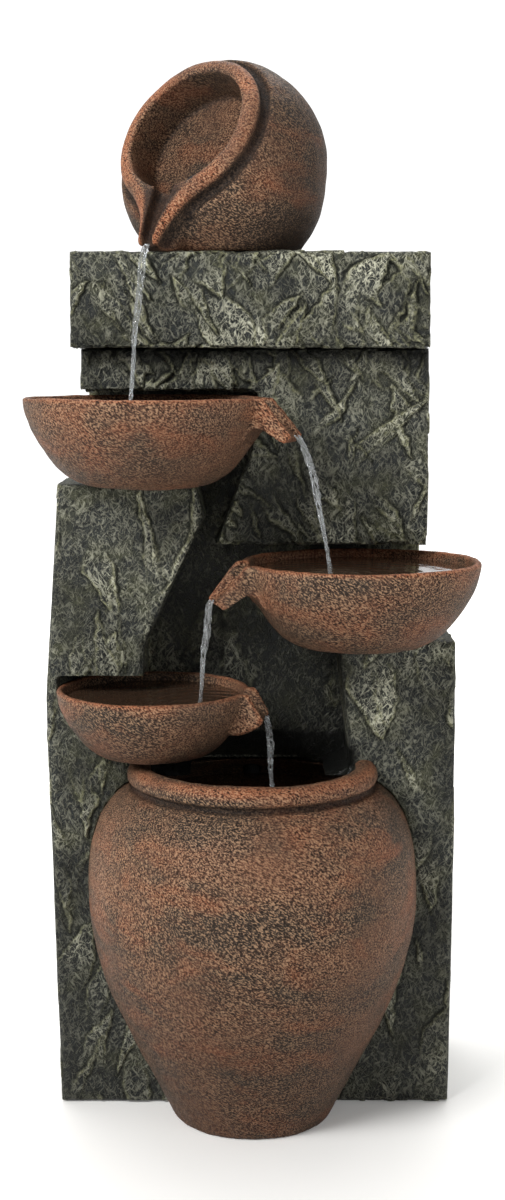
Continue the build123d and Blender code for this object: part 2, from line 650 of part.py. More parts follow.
def pump_body():
    block = Pos(PUMP_X, PUMP_Y, (PUMP_BOTTOM + PUMP_TOP) / 2) * Box(PUMP_WIDTH, PUMP_DEPTH, PUMP_HEIGHT)
    block = fillet(block.edges().filter_by(Axis.Y), PUMP_ROUND)
    block -= along_rotor(VOLUTE_RADIUS, PUMP_FRONT - 1, PUMP_FRONT + VOLUTE_DEPTH)
    block -= along_rotor(ROTOR_RADIUS + ROTOR_GAP, PUMP_FRONT, WELL_END)
    block -= along_rotor(BUSH_RADIUS, PUMP_FRONT, WELL_END + BUSH_LENGTH)
    duct_y = PUMP_FRONT + VOLUTE_DEPTH / 2
    block -= upright(NOZZLE_BORE, PUMP_X, duct_y, ROTOR_Z, PUMP_TOP + 1)
    dial = (PUMP_SIDE - DIAL_HEIGHT, PUMP_Y + DIAL_RADIUS, dial_height())
    return block - rod(DIAL_STEM + SHAFT_GAP, dial, (PUMP_SIDE + 1, dial[1], dial[2]))


def dial_height():
    return PUMP_BOTTOM + PUMP_HEIGHT * DIAL_Z_SHARE


def flow_dial():
    """The flow regulator: a knob with a pointer, on a stem in the pump's side."""
    y, z = PUMP_Y + DIAL_RADIUS, dial_height()
    face = PUMP_SIDE + FIT_GAP
    knob = rod(DIAL_RADIUS, (face, y, z), (face + DIAL_HEIGHT, y, z))
    knob += rod(DIAL_STEM, (PUMP_SIDE - DIAL_HEIGHT + FIT_GAP, y, z), (face, y, z))
    return knob + Pos(face + DIAL_HEIGHT, y, z) * Box(4, 3, 2 * DIAL_RADIUS - 2)


def pump_outlet():
    end = TUBE_START + BARB_LENGTH
    flange = upright(TUBE_RADIUS, PUMP_X, PUMP_Y, PUMP_TOP, TUBE_START)
    flange += upright(TUBE_BORE - TUBE_FIT, PUMP_X, PUMP_Y, TUBE_START, end)
    return flange - upright(NOZZLE_BORE, PUMP_X, PUMP_Y, PUMP_TOP - 1, end + 1)


def pump_feet():
    """Four suction cups between the pump and the urn's floor."""
    cup = Pos(0, 0, FOOT_HEIGHT / 2) * Cone(FOOT_RADIUS, FOOT_RADIUS / 2, FOOT_HEIGHT)
    spots = GridLocations(PUMP_WIDTH - 2 * FOOT_RADIUS - 4, PUMP_DEPTH - 2 * FOOT_RADIUS - 4, 2, 2)
    return Compound(children=[Pos(PUMP_X, PUMP_Y, URN_FLOOR) * spot * cup for spot in spots])


def volute_plate():
    """Cover of the impeller's chamber, with the intake round a spider that holds the front bush."""
    plate = Pos(PUMP_X, PUMP_FRONT - VOLUTE_PLATE / 2, (PUMP_BOTTOM + PUMP_TOP) / 2) * Box(
        PUMP_WIDTH - 2 * PUMP_ROUND, VOLUTE_PLATE, PUMP_HEIGHT - 2)
    front = PUMP_FRONT - VOLUTE_PLATE - 1
    ring = along_rotor(INTAKE_RADIUS + 3, front, PUMP_FRONT + 1)
    ring -= along_rotor(BUSH_RADIUS + 2, front, PUMP_FRONT + 1)
    middle = Pos(PUMP_X, PUMP_FRONT - VOLUTE_PLATE / 2, ROTOR_Z)
    ring -= middle * Box(4 * INTAKE_RADIUS, 2 * VOLUTE_PLATE, 3)
    ring -= middle * Box(3, 2 * VOLUTE_PLATE, 4 * INTAKE_RADIUS)
    return plate - ring - along_rotor(BUSH_RADIUS, front, PUMP_FRONT + 1)


def shaft_bushes():
    hole = SHAFT_RADIUS + SHAFT_GAP
    front = along_rotor(BUSH_RADIUS, PUMP_FRONT - VOLUTE_PLATE, PUMP_FRONT)
    front -= along_rotor(hole, PUMP_FRONT - VOLUTE_PLATE - 1, PUMP_FRONT + 1)
    back = along_rotor(BUSH_RADIUS, WELL_END, WELL_END + BUSH_LENGTH)
    back -= along_rotor(hole, WELL_END - 1, WELL_END + BUSH_LENGTH + 1)
    return Compound(children=[front, back])


def rotor_shaft():
    return along_rotor(SHAFT_RADIUS, PUMP_FRONT - VOLUTE_PLATE, WELL_END + BUSH_LENGTH)


def impeller():
    """Magnet rotor and its bladed wheel, turning on the ceramic shaft."""
    start = PUMP_FRONT + VOLUTE_DEPTH + ROTOR_GAP
    rotor = along_rotor(ROTOR_RADIUS, start - VOLUTE_DEPTH / 2, start + ROTOR_LENGTH)
    wheel = start - VOLUTE_DEPTH / 2
    rotor += along_rotor(IMPELLER_RADIUS, wheel, wheel + IMPELLER_THICK)
    reach = (IMPELLER_RADIUS + BUSH_RADIUS) / 2
    blade = Pos(reach, 0, 0) * Box(IMPELLER_RADIUS - BUSH_RADIUS, BLADE_LENGTH, BLADE_WIDTH)
    for turn in range(BLADE_COUNT):
        spot = Pos(PUMP_X, start - VOLUTE_DEPTH / 2 - BLADE_LENGTH / 2 + 1, ROTOR_Z)
        rotor += spot * Rot(0, turn * 360 / BLADE_COUNT, 0) * blade
    return rotor - along_rotor(SHAFT_RADIUS + SHAFT_GAP, PUMP_FRONT - 9, WELL_END + 9)


def strainer_cover():
    """Slotted cup over the intake. It pulls off forward for cleaning."""
    back = PUMP_FRONT - VOLUTE_PLATE - STRAINER_TRAVEL_GAP
    middle = Pos(PUMP_X, back - STRAINER_DEPTH / 2, (PUMP_BOTTOM + PUMP_TOP) / 2)
    width, height = PUMP_WIDTH - 2 * PUMP_ROUND, PUMP_HEIGHT - 2
    cup = middle * Box(width, STRAINER_DEPTH, height)
    cup = fillet(cup.edges().group_by(Axis.Y)[0], PUMP_ROUND)
    inner = Box(width - 2 * STRAINER_WALL, STRAINER_DEPTH, height - 2 * STRAINER_WALL)
    cup -= middle * Pos(0, STRAINER_WALL, 0) * inner
    pitch = (height - 4 * STRAINER_WALL) / SLOT_COUNT
    for row in range(SLOT_COUNT):
        lift = (row - (SLOT_COUNT - 1) / 2) * pitch
        cup -= middle * Pos(0, 0, lift) * Box(width - 6 * STRAINER_WALL, 2 * STRAINER_DEPTH, SLOT_WIDTH)
    return cup


def cable_grommet():
    """Rubber grommet in the tower's back wall, where the pump's cable leaves."""
    neck = level(GROMMET_HOLE - TUBE_FIT, GROMMET_X, GROMMET_Z, TOWER_BACK - WALL, TOWER_BACK)
    lip = level(GROMMET_FLANGE, GROMMET_X, GROMMET_Z, TOWER_BACK, TOWER_BACK + GROMMET_LIP)
    start, end = TOWER_BACK - 2 * WALL, TOWER_BACK + 2 * GROMMET_LIP
    return neck + lip - level(GROMMET_BORE, GROMMET_X, GROMMET_Z, start, end)


# Access door

def door_opening():
    """The rebate that the door lies in, and the smaller way through behind it."""
    rebate = Pos(0, TOWER_BACK - DOOR_THICK / 2 + 1, DOOR_MIDDLE) * Box(
        DOOR_WIDTH + 2 * DOOR_GAP, DOOR_THICK + 2, DOOR_HEIGHT + 2 * DOOR_GAP)
    way = Pos(0, TOWER_BACK - WALL / 2, DOOR_MIDDLE) * Box(
        DOOR_WIDTH - 2 * DOOR_LEDGE, 2 * WALL, DOOR_HEIGHT - 2 * DOOR_LEDGE)
    return rebate + way


def access_door():
    plate = Pos(0, TOWER_BACK - DOOR_THICK / 2 + FIT_GAP / 2, DOOR_MIDDLE) * Box(
        DOOR_WIDTH, DOOR_THICK - FIT_GAP, DOOR_HEIGHT)
    start, end = (LATCH_X, DOOR_FACE - 1, DOOR_MIDDLE), (LATCH_X, TOWER_BACK + 1, DOOR_MIDDLE)
    return plate - rod(LATCH_STEM + LATCH_GAP, start, end)


def hinge_leaf(side, knuckles):
    """A flat leaf on one side of the pin, with knuckles given as (low, high) along the pin."""
    low, high = min(k[0] for k in knuckles), max(k[1] for k in knuckles)
    middle = TOWER_BACK + HINGE_LEAF_THICK / 2
    leaf = Pos(HINGE_X + side * HINGE_LEAF / 2, middle, (low + high) / 2) * Box(
        HINGE_LEAF, HINGE_LEAF_THICK, high - low)
    span = (HINGE_X, HINGE_Y, low - KNUCKLE_LENGTH), (HINGE_X, HINGE_Y, high + KNUCKLE_LENGTH)
    leaf -= rod(HINGE_RADIUS + KNUCKLE_GAP, *span)
    for start, end in knuckles:
        barrel = rod(HINGE_RADIUS, (HINGE_X, HINGE_Y, start), (HINGE_X, HINGE_Y, end))
        web = Pos(HINGE_X + side * HINGE_RADIUS, middle, (start + end) / 2) * Box(
            2 * HINGE_RADIUS, HINGE_LEAF_THICK, end - start)
        leaf += barrel + web
    return leaf - rod(HINGE_PIN_RADIUS + HINGE_PIN_GAP, *span)


def door_leaves():
    half = KNUCKLE_LENGTH / 2
    return Compound(children=[hinge_leaf(1, [(z - half, z + half)]) for z in HINGE_HEIGHTS])


def frame_leaves():
    half = KNUCKLE_LENGTH / 2 + KNUCKLE_GAP
    end = half + KNUCKLE_LENGTH / 2
    leaves = [hinge_leaf(-1, [(z - end, z - half), (z + half, z + end)]) for z in HINGE_HEIGHTS]
    return Compound(children=leaves)


def hinge_pins():
    reach = KNUCKLE_LENGTH + KNUCKLE_GAP
    pins = [upright(HINGE_PIN_RADIUS, HINGE_X, HINGE_Y, z - reach, z + reach) for z in HINGE_HEIGHTS]
    return Compound(children=pins)


def turn_latch():
    """Knob, stem and tongue. The tongue stands upright here, clear of the wall, and turns behind it."""
    outer = TOWER_BACK + FIT_GAP
    tongue_back = TOWER_BACK - WALL - FIT_GAP
    knob = level(KNOB_RADIUS, LATCH_X, DOOR_MIDDLE, outer, outer + 3)
    knob += Pos(LATCH_X, outer + KNOB_HEIGHT / 2, DOOR_MIDDLE) * Box(5, KNOB_HEIGHT, 1.7 * KNOB_RADIUS)
    knob += level(LATCH_STEM, LATCH_X, DOOR_MIDDLE, tongue_back - TONGUE_THICK, outer)
    spot = Pos(LATCH_X, tongue_back - TONGUE_THICK / 2, DOOR_MIDDLE + (TONGUE_LENGTH - TONGUE_WIDTH) / 2)
    return knob + spot * Box(TONGUE_WIDTH, TONGUE_THICK, TONGUE_LENGTH)


# Bowl fasteners

def bowl_bolts():
    bolts = []
    for data, (x, z) in zip(BOWLS.values(), bolt_spots()):
        seat = bolt_seats(data)[0]
        head = level(BOLT_HEAD_RADIUS, x, z, seat - BOLT_HEAD, seat)
        bolts.append(head + level(BOLT_RADIUS, x, z, seat, TOWER_FRONT + WALL + NUT_THICK + 2))
    return Compound(children=bolts)


def bowl_washers():
    washers = []
    for data, (x, z) in zip(BOWLS.values(), bolt_spots()):
        seat = bolt_seats(data)[1]
        disc = level(WASHER_RADIUS, x, z, seat, TOWER_FRONT)
        washers.append(disc - level(BOLT_RADIUS + SHAFT_GAP, x, z, seat - 1, TOWER_FRONT + 1))
    return Compound(children=washers)


def bowl_nuts():
    nuts = []
    start = TOWER_FRONT + WALL
    for x, z in bolt_spots():
        face = Plane(origin=(x, start, z), z_dir=(0, 1, 0)) * RegularPolygon(NUT_RADIUS, 6)
        hole = level(BOLT_RADIUS + SHAFT_GAP, x, z, start - 1, start + 2 * NUT_THICK)
        nuts.append(extrude(face, NUT_THICK) - hole)
    return Compound(children=nuts)


PIECES = {
    "tower_shell": tower_shell, "cap_slab": cap_slab, "upper_slab": upper_slab, "left_slab": left_slab,
    "right_slab": right_slab, "urn": urn, "pouring_jar": jar, "riser_tube": riser_tube,
    "hose_clamps": hose_clamps, "tube_clips": tube_clips, "jar_nozzle": jar_nozzle,
    "nozzle_gasket": nozzle_gasket, "nozzle_nut": nozzle_nut, "pump_body": pump_body,
    "pump_outlet": pump_outlet, "pump_feet": pump_feet, "volute_plate": volute_plate,
    "shaft_bushes": shaft_bushes, "rotor_shaft": rotor_shaft, "impeller": impeller,
    "strainer_cover": strainer_cover, "flow_dial": flow_dial, "cable_grommet": cable_grommet,
    "access_door": access_door, "door_hinge_leaves": door_leaves, "frame_hinge_leaves": frame_leaves,
    "hinge_pins": hinge_pins, "turn_latch": turn_latch, "bowl_bolts": bowl_bolts,
    "bowl_washers": bowl_washers, "bowl_nuts": bowl_nuts,
}


if __name__ == "__main__":
    os.makedirs("parts", exist_ok=True)
    for name in BOWLS:
        export_step(bowl(name), f"parts/{name}.step")
    for name, make in PIECES.items():
        export_step(make(), f"parts/{name}.step")
    tube_length = tube_path().length
    print("tube radii", [round(r, 1) for r in tube_radii()], "length", round(tube_length, 1))
    section = (Circle(TUBE_RADIUS) - Circle(TUBE_BORE)).area
    print("tube volume share", round(riser_tube().volume / (section * tube_length), 4))
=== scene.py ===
# %% [markdown]
# # A tiered garden fountain
# The fountain is a cast resin tower with a slate face. A tilted jar pours into three terracotta
# bowls and a large urn. The CAD model gives every shape and place. This lesson gives the castings
# their relief and their paint, and adds the water.

# %% Load the frame
import json
import math

import bpy
import numpy as np
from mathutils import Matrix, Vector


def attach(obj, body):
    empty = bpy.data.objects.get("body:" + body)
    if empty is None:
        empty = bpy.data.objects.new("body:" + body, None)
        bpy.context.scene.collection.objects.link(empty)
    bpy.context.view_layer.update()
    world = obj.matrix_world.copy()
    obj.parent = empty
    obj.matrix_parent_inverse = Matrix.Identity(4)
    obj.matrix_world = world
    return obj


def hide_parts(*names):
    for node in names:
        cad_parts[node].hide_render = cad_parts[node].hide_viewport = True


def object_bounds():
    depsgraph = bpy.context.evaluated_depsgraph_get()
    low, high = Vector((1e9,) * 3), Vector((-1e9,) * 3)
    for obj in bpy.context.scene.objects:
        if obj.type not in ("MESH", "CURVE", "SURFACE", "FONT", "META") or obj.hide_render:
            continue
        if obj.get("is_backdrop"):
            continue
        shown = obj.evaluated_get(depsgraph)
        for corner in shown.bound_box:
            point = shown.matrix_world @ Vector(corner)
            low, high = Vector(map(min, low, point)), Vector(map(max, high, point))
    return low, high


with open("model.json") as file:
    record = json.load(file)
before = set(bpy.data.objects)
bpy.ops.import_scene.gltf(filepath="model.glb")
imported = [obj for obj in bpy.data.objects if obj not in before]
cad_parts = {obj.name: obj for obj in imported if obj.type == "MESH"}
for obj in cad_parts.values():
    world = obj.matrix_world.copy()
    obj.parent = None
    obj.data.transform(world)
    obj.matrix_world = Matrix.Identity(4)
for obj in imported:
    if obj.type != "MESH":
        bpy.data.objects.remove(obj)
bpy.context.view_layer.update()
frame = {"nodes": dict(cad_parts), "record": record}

MM = 0.001

# %% [markdown]
# ## Small tools
# A colour picker shows sRGB, and shader sockets take linear light, so one function converts. One
# function adds a shader node with its settings and links. One function makes an object the only
# selected one, because an operator acts on everything that is selected. The last two start a
# material and lay it on a piece.

# %% Tools
def linear(code):
    """A hex colour such as 6e4b3a as linear red, green, blue and alpha."""
    channels = [int(code[i:i + 2], 16) / 255 for i in (0, 2, 4)]
    return [c / 12.92 if c <= 0.04045 else ((c + 0.055) / 1.055) ** 2.4 for c in channels] + [1.0]


def add_node(tree, kind, inputs=None, **settings):
    """A node with its settings. An input that is a socket is linked, and any other is set."""
    node = tree.nodes.new(kind)
    for key, value in settings.items():
        setattr(node, key, value)
    for key, value in (inputs or {}).items():
        if isinstance(value, bpy.types.NodeSocket):
            tree.links.new(value, node.inputs[key])
        else:
            node.inputs[key].default_value = value
    return node


def select_only(piece):
    if bpy.context.object and bpy.context.object.mode != "OBJECT":
        bpy.ops.object.mode_set(mode="OBJECT")
    bpy.ops.object.select_all(action="DESELECT")
    piece.select_set(True)
    bpy.context.view_layer.objects.active = piece


def new_material(name):
    """An empty principled material, its node tree and its shader."""
    material = bpy.data.materials.new(name)
    material.use_nodes = True
    tree = material.node_tree
    return material, tree, tree.nodes["Principled BSDF"]


def paint(piece, material):
    piece.data.materials.clear()
    piece.data.materials.append(material)


print("middle grey in linear light", [round(c, 3) for c in linear("808080")])

# %% [markdown]
# ## Camera
# The picture is a product shot from a little above the middle, on white. The camera comes first. Its
# distance and height decide how open the rims look, and the lens then fills the frame.

# %% Camera
CAMERA_PLACE = (0.0, -1.765, 0.723)
CAMERA_PITCH = 7.8
LENS = 54.0
SENSOR = 36.0

bpy.ops.object.camera_add(location=CAMERA_PLACE, rotation=(math.radians(90 - CAMERA_PITCH), 0, 0))
camera = bpy.context.object
camera.data.lens = LENS
camera.data.sensor_width = SENSOR
bpy.context.scene.camera = camera
print("camera", CAMERA_PLACE, "lens", LENS, "mm")

# %% [markdown]
# ## Studio light
# A large soft light from the upper left models the round vessels, and a weak one from the right
# keeps the shaded side readable. A third lights the paper behind. A small lamp or a sun would throw
# hard shadows that a studio shot doesn't have, so all three are area lights.

# %% Lights
def soft_light(name, place, aim, width, power):
    """A square area light that looks at a point."""
    bpy.ops.object.light_add(type="AREA", location=place)
    light = bpy.context.object
    light.name = name
    light.data.size = width
    light.data.energy = power
    direction = [a - p for a, p in zip(aim, place)]
    flat = math.hypot(direction[0], direction[1])
    light.rotation_euler = (math.atan2(flat, -direction[2]), 0, math.atan2(-direction[0], direction[1]))
    print(name, width, "m wide,", power, "W")


soft_light("key_light", (-1.5, -1.8, 2.0), (0, 0, 0.55), 1.0, 72)
soft_light("fill_light", (1.6, -1.8, 0.9), (0, 0, 0.45), 1.3, 7)
soft_light("top_light", (0, 1.6, 3.0), (0, 0.9, 0), 2.5, 70)

# %% [markdown]
# The studio's back wall is bright white, and the room behind the camera is dim, so the front isn't
# lit flat. The world's strength therefore follows the direction of the ray. What the camera itself
# looks at is white all round.

# %% Studio walls
WALL_GLOW = 1.15
ROOM_GLOW = 0.28
ROOM_END = -0.15
WALL_START = 0.5

world = bpy.data.worlds.new("studio")
world.use_nodes = True
tree = world.node_tree
toward = add_node(tree, "ShaderNodeTexCoord").outputs["Generated"]
depth = add_node(tree, "ShaderNodeSeparateXYZ", {0: toward}).outputs["Y"]
wall = add_node(tree, "ShaderNodeMapRange", {
    "Value": depth, "From Min": ROOM_END, "From Max": WALL_START,
    "To Min": ROOM_GLOW, "To Max": WALL_GLOW}, interpolation_type="SMOOTHSTEP")
seen = add_node(tree, "ShaderNodeLightPath").outputs["Is Camera Ray"]
seen = add_node(tree, "ShaderNodeMath", {0: seen, 1: WALL_GLOW}, operation="MULTIPLY")
strength = add_node(tree, "ShaderNodeMath", {
    0: wall.outputs[0], 1: seen.outputs[0]}, operation="MAXIMUM")
backdrop = tree.nodes["Background"]
backdrop.inputs["Color"].default_value = (1, 1, 1, 1)
tree.links.new(strength.outputs[0], backdrop.inputs["Strength"])
bpy.context.scene.world = world
bpy.context.scene.view_settings.view_transform = "Standard"
print("walls from", ROOM_GLOW, "to", WALL_GLOW)

# %% [markdown]
# ## Floor
# The fountain stands on a wide sheet of pale paper. A plain plane would show its far edge, so the
# paper glows as painted light, faintly near the object and more away from it, until it is evenly
# white and runs into the backdrop.

# %% Floor
FLOOR_WIDTH = 40.0
GLOW_REACH = (0.6, 2.2)
GLOW_RANGE = (0.1, 0.6)

bpy.ops.mesh.primitive_plane_add(size=FLOOR_WIDTH, location=(0, 0, 0))
floor = bpy.context.object
floor.name = "floor"
# Matt white paper: no gloss, and a soft shadow round the foot.
floor_paint, tree, shader = new_material("pale_floor")
shader.inputs["Base Color"].default_value = linear("f3f2ef")
shader.inputs["Roughness"].default_value = 0.9
shader.inputs["Emission Color"].default_value = linear("ffffff")
place = add_node(tree, "ShaderNodeTexCoord").outputs["Object"]
distance = add_node(tree, "ShaderNodeVectorMath", {0: place}, operation="LENGTH")
# painted light: the paper glows more strongly away from the object
glow = add_node(tree, "ShaderNodeMapRange", {
    "Value": distance.outputs["Value"], "From Min": GLOW_REACH[0], "From Max": GLOW_REACH[1],
    "To Min": GLOW_RANGE[0], "To Max": GLOW_RANGE[1]})
tree.links.new(glow.outputs[0], shader.inputs["Emission Strength"])
paint(floor, floor_paint)
floor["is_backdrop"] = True
print("floor", round(floor.dimensions.x), "m square")

# %% [markdown]
# ## The slate paint
# The real slabs are cast resin, sprayed dark grey, then dry-brushed with a pale olive that catches
# only on what stands proud. A pattern alone would put the pale paint anywhere. So the colour follows
# the relief: attributes that the mesh carries say what is proud, what is worn and gets a painted
# highlight, what is cracked and gets painted shade, and what is wet or in painted shade. Noises of
# real sizes add what is too fine for the mesh.

# %% Slate patterns
BROAD_PATCH = 70 * MM
TINTS_PER_PATCH = 2.3
FINE_VEIN_SPACING = 3.4 * MM
GRIT = 1.6 * MM

# Cast resin painted as slate: a dark rough ground with pale brush strokes on whatever stands proud.
slate, tree, shader = new_material("dry_brushed_slate")
place = add_node(tree, "ShaderNodeTexCoord").outputs["Object"]
relief, edge, crack_shade, wet_and_shade = [
    add_node(tree, "ShaderNodeAttribute", attribute_name=name).outputs["Fac"]
    for name in ("relief", "edge", "crack_shade", "wet_and_shade")]
broad = add_node(tree, "ShaderNodeTexNoise", {
    "Vector": place, "Scale": 1 / BROAD_PATCH, "Detail": 4.0})
tint = add_node(tree, "ShaderNodeTexNoise", {
    "Vector": place, "Scale": TINTS_PER_PATCH / BROAD_PATCH, "Detail": 3.0})
fine = add_node(tree, "ShaderNodeTexNoise", {
    "Vector": place, "Scale": 1 / FINE_VEIN_SPACING, "Detail": 2.0, "Distortion": 0.8})
grit = add_node(tree, "ShaderNodeTexNoise", {"Vector": place, "Scale": 1 / GRIT, "Detail": 2.0})
print(slate.name, "patterns from", round(GRIT / MM, 1), "to", round(BROAD_PATCH / MM), "mm")

# %% [markdown]
# The brush leaves short pale strokes about 5 mm apart. A noise stretched along a lean and folded at
# its middle value gives winding lines, and two such sets lean against each other. A Mapping node of
# type Texture turns before it stretches, so the strokes really lean.

# %% Brush strokes
STROKES = ((35, 5.0 * MM), (-28, 5.6 * MM))
STROKE_STRETCH = (1, 1, 2.4)
STROKE_WIDTH = 0.045
FINE_WIDTH = 0.03
FINE_STRENGTH = 0.5

sets = [(fine, FINE_WIDTH, FINE_STRENGTH)]
for lean, spacing in STROKES:
    leaning = add_node(tree, "ShaderNodeMapping", {
        "Vector": place, "Rotation": (0, math.radians(lean), 0), "Scale": STROKE_STRETCH},
        vector_type="TEXTURE")
    strokes = add_node(tree, "ShaderNodeTexNoise", {
        "Vector": leaning.outputs[0], "Scale": 1 / spacing, "Detail": 2.0, "Distortion": 0.7})
    sets.append((strokes, STROKE_WIDTH, 1.0))
web = 0.0
for noise, width, strength in sets:
    folded = add_node(tree, "ShaderNodeMath", {0: noise.outputs["Fac"], 1: 0.5}, operation="SUBTRACT")
    folded = add_node(tree, "ShaderNodeMath", {0: folded.outputs[0]}, operation="ABSOLUTE")
    lines = add_node(tree, "ShaderNodeMapRange", {
        "Value": folded.outputs[0], "From Min": 0.0, "From Max": width,
        "To Min": strength, "To Max": 0.0})
    joined = add_node(tree, "ShaderNodeMath", {0: lines.outputs[0], 1: web}, operation="MAXIMUM")
    web = joined.outputs[0]
print(len(sets), "sets of strokes")

# %% [markdown]
# The colour is laid in coats, as a painter would: grey over near-black, moss in patches, dark wash
# in the pits, the pale brush, worn edges with a painted highlight, painted shade in the cracks, and
# last the dark of wet stone together with painted shade in the channel, the urn's mouth, under the
# cap and towards the foot. Each coat has a share from 0 to 1 that says how much of it covers what
# lies below.

# %% Slate colour
SLATE_GROUND = "0f1111"
proud = add_node(tree, "ShaderNodeMapRange", {
    "Value": relief, "From Min": 0.1, "From Max": 0.75, "To Min": 0.32, "To Max": 0.95})
patch = add_node(tree, "ShaderNodeMapRange", {
    "Value": broad.outputs["Fac"], "From Min": 0.36, "From Max": 0.6, "To Min": 0.35, "To Max": 1.0})
brushed = add_node(tree, "ShaderNodeMath", {
    0: proud.outputs[0], 1: patch.outputs[0]}, operation="MULTIPLY")
brushed = add_node(tree, "ShaderNodeMath", {0: brushed.outputs[0], 1: web}, operation="MULTIPLY")
mossy = add_node(tree, "ShaderNodeMapRange", {
    "Value": tint.outputs["Fac"], "From Min": 0.48, "From Max": 0.66, "To Min": 0.0, "To Max": 0.8})
pits = add_node(tree, "ShaderNodeMapRange", {
    "Value": fine.outputs["Fac"], "From Min": 0.37, "From Max": 0.48, "To Min": 0.8, "To Max": 0.0})
rubbed = add_node(tree, "ShaderNodeMapRange", {
    "Value": fine.outputs["Fac"], "From Min": 0.4, "From Max": 0.6, "To Min": 0.15, "To Max": 0.85})
worn_and_lit_edge = add_node(tree, "ShaderNodeMath", {0: edge, 1: rubbed.outputs[0]}, operation="MULTIPLY")
slate_coats = (
    (patch.outputs[0], "282b2a"),
    (mossy.outputs[0], "3c3d2b"),
    (pits.outputs[0], "0f100d"),
    (brushed.outputs[0], "cecdb6"),
    # pale edges: wear together with a painted highlight
    (worn_and_lit_edge.outputs[0], "9a9974"),
    # painted shade in the cracks, in hollow corners and at the foot of each step
    (crack_shade, "101209"),
    # the dark of wet stone plus painted shade in the channel, the urn's mouth, under the cap and towards
    # the foot
    (wet_and_shade, "0b0c0a"),
)
colour = linear(SLATE_GROUND)
for share, code in slate_coats:
    coat = add_node(tree, "ShaderNodeMix", {0: share, 6: colour, 7: linear(code)}, data_type="RGBA")
    colour = coat.outputs[2]
tree.links.new(colour, shader.inputs["Base Color"])
print(slate.name, len(slate_coats), "coats")

# %% [markdown]
# Dry slate is dull and gritty. Wet slate is glossier, because the water fills the grit, so the
# attribute for wet stone lowers the roughness, also where it carries painted shade. The strokes stand
# a little proud of the ground, and the bump says so.

# %% Slate gloss
WET_ROUGHNESS = 0.38
GRIT_SHARE = 0.35
STROKE_HEIGHT = 0.9 * MM

shader.inputs["Specular IOR Level"].default_value = 0.25
rough = add_node(tree, "ShaderNodeMapRange", {
    "Value": grit.outputs["Fac"], "From Min": 0.3, "From Max": 0.7, "To Min": 0.58, "To Max": 0.85})
wet = add_node(tree, "ShaderNodeMix", {0: wet_and_shade, 2: rough.outputs[0], 3: WET_ROUGHNESS})
tree.links.new(wet.outputs[0], shader.inputs["Roughness"])
height = add_node(tree, "ShaderNodeMath", {
    0: grit.outputs["Fac"], 1: GRIT_SHARE}, operation="MULTIPLY")
height = add_node(tree, "ShaderNodeMath", {0: web, 1: height.outputs[0]}, operation="ADD")
bump = add_node(tree, "ShaderNodeBump", {
    "Height": height.outputs[0], "Strength": 0.9, "Distance": STROKE_HEIGHT})
tree.links.new(bump.outputs["Normal"], shader.inputs["Normal"])
print(slate.name, len(tree.nodes), "nodes")

# %% [markdown]
# ## The terracotta paint
# The vessels are the same resin, painted as old terracotta: a red-brown body with orange on the
# rims, where hands and water have worn them and where a painted highlight falls, grey-brown smoke in
# wide patches, and a skin of tiny slanting pits, 1 to 2 mm apart, that hold dark wash. A noise
# stretched along a lean gives the pits. Round specks would look like granite.

# %% Terracotta patterns
SMOKE_PATCH = 110 * MM
BLUSHES_PER_PATCH = 1.9
RUBS_PER_PATCH = 1.4
PATCH_STRETCH = (1, 1, 2.0)
PIT_SPACING = 1.2 * MM
PIT_LEAN = -58
PIT_STRETCH = (1, 1, 2.0)
SAND = 1.3 * MM

# Cast resin painted as old terracotta: a matt red-brown speckled dark, with orange rims that are worn
# and carry a painted highlight.
terracotta, tree, shader = new_material("aged_terracotta")
place = add_node(tree, "ShaderNodeTexCoord").outputs["Object"]
edge, crack_shade, painted_shade = [
    add_node(tree, "ShaderNodeAttribute", attribute_name=name).outputs["Fac"]
    for name in ("edge", "crack_shade", "painted_shade")]
brushed = add_node(tree, "ShaderNodeMapping", {"Vector": place, "Scale": PATCH_STRETCH}).outputs[0]
smoke = add_node(tree, "ShaderNodeTexNoise", {
    "Vector": brushed, "Scale": 1 / SMOKE_PATCH, "Detail": 6.0, "Roughness": 0.6})
blush = add_node(tree, "ShaderNodeTexNoise", {
    "Vector": brushed, "Scale": BLUSHES_PER_PATCH / SMOKE_PATCH, "Detail": 4.0, "Distortion": 0.4})
rubbed = add_node(tree, "ShaderNodeTexNoise", {
    "Vector": place, "Scale": RUBS_PER_PATCH / SMOKE_PATCH, "Detail": 3.0})
leaning = add_node(tree, "ShaderNodeMapping", {
    "Vector": place, "Rotation": (0, math.radians(PIT_LEAN), 0), "Scale": PIT_STRETCH},
    vector_type="TEXTURE")
pits = add_node(tree, "ShaderNodeTexNoise", {
    "Vector": leaning.outputs[0], "Scale": 1 / PIT_SPACING, "Detail": 2.0, "Distortion": 0.5})
sand = add_node(tree, "ShaderNodeTexNoise", {"Vector": place, "Scale": 1 / SAND, "Detail": 2.0})
print(terracotta.name, "patterns from", round(PIT_SPACING / MM, 1), "to", round(SMOKE_PATCH / MM), "mm")

# %% [markdown]
# This colour is laid in coats too: smoke and blush over the clay, orange on the rims as wear and
# painted highlight, dark wash in the pits, a pale rub on the ridges between them, then painted shade
# below and painted shade in the creases. The texture is fainter where the skin has been rubbed, so
# the speckle isn't even.

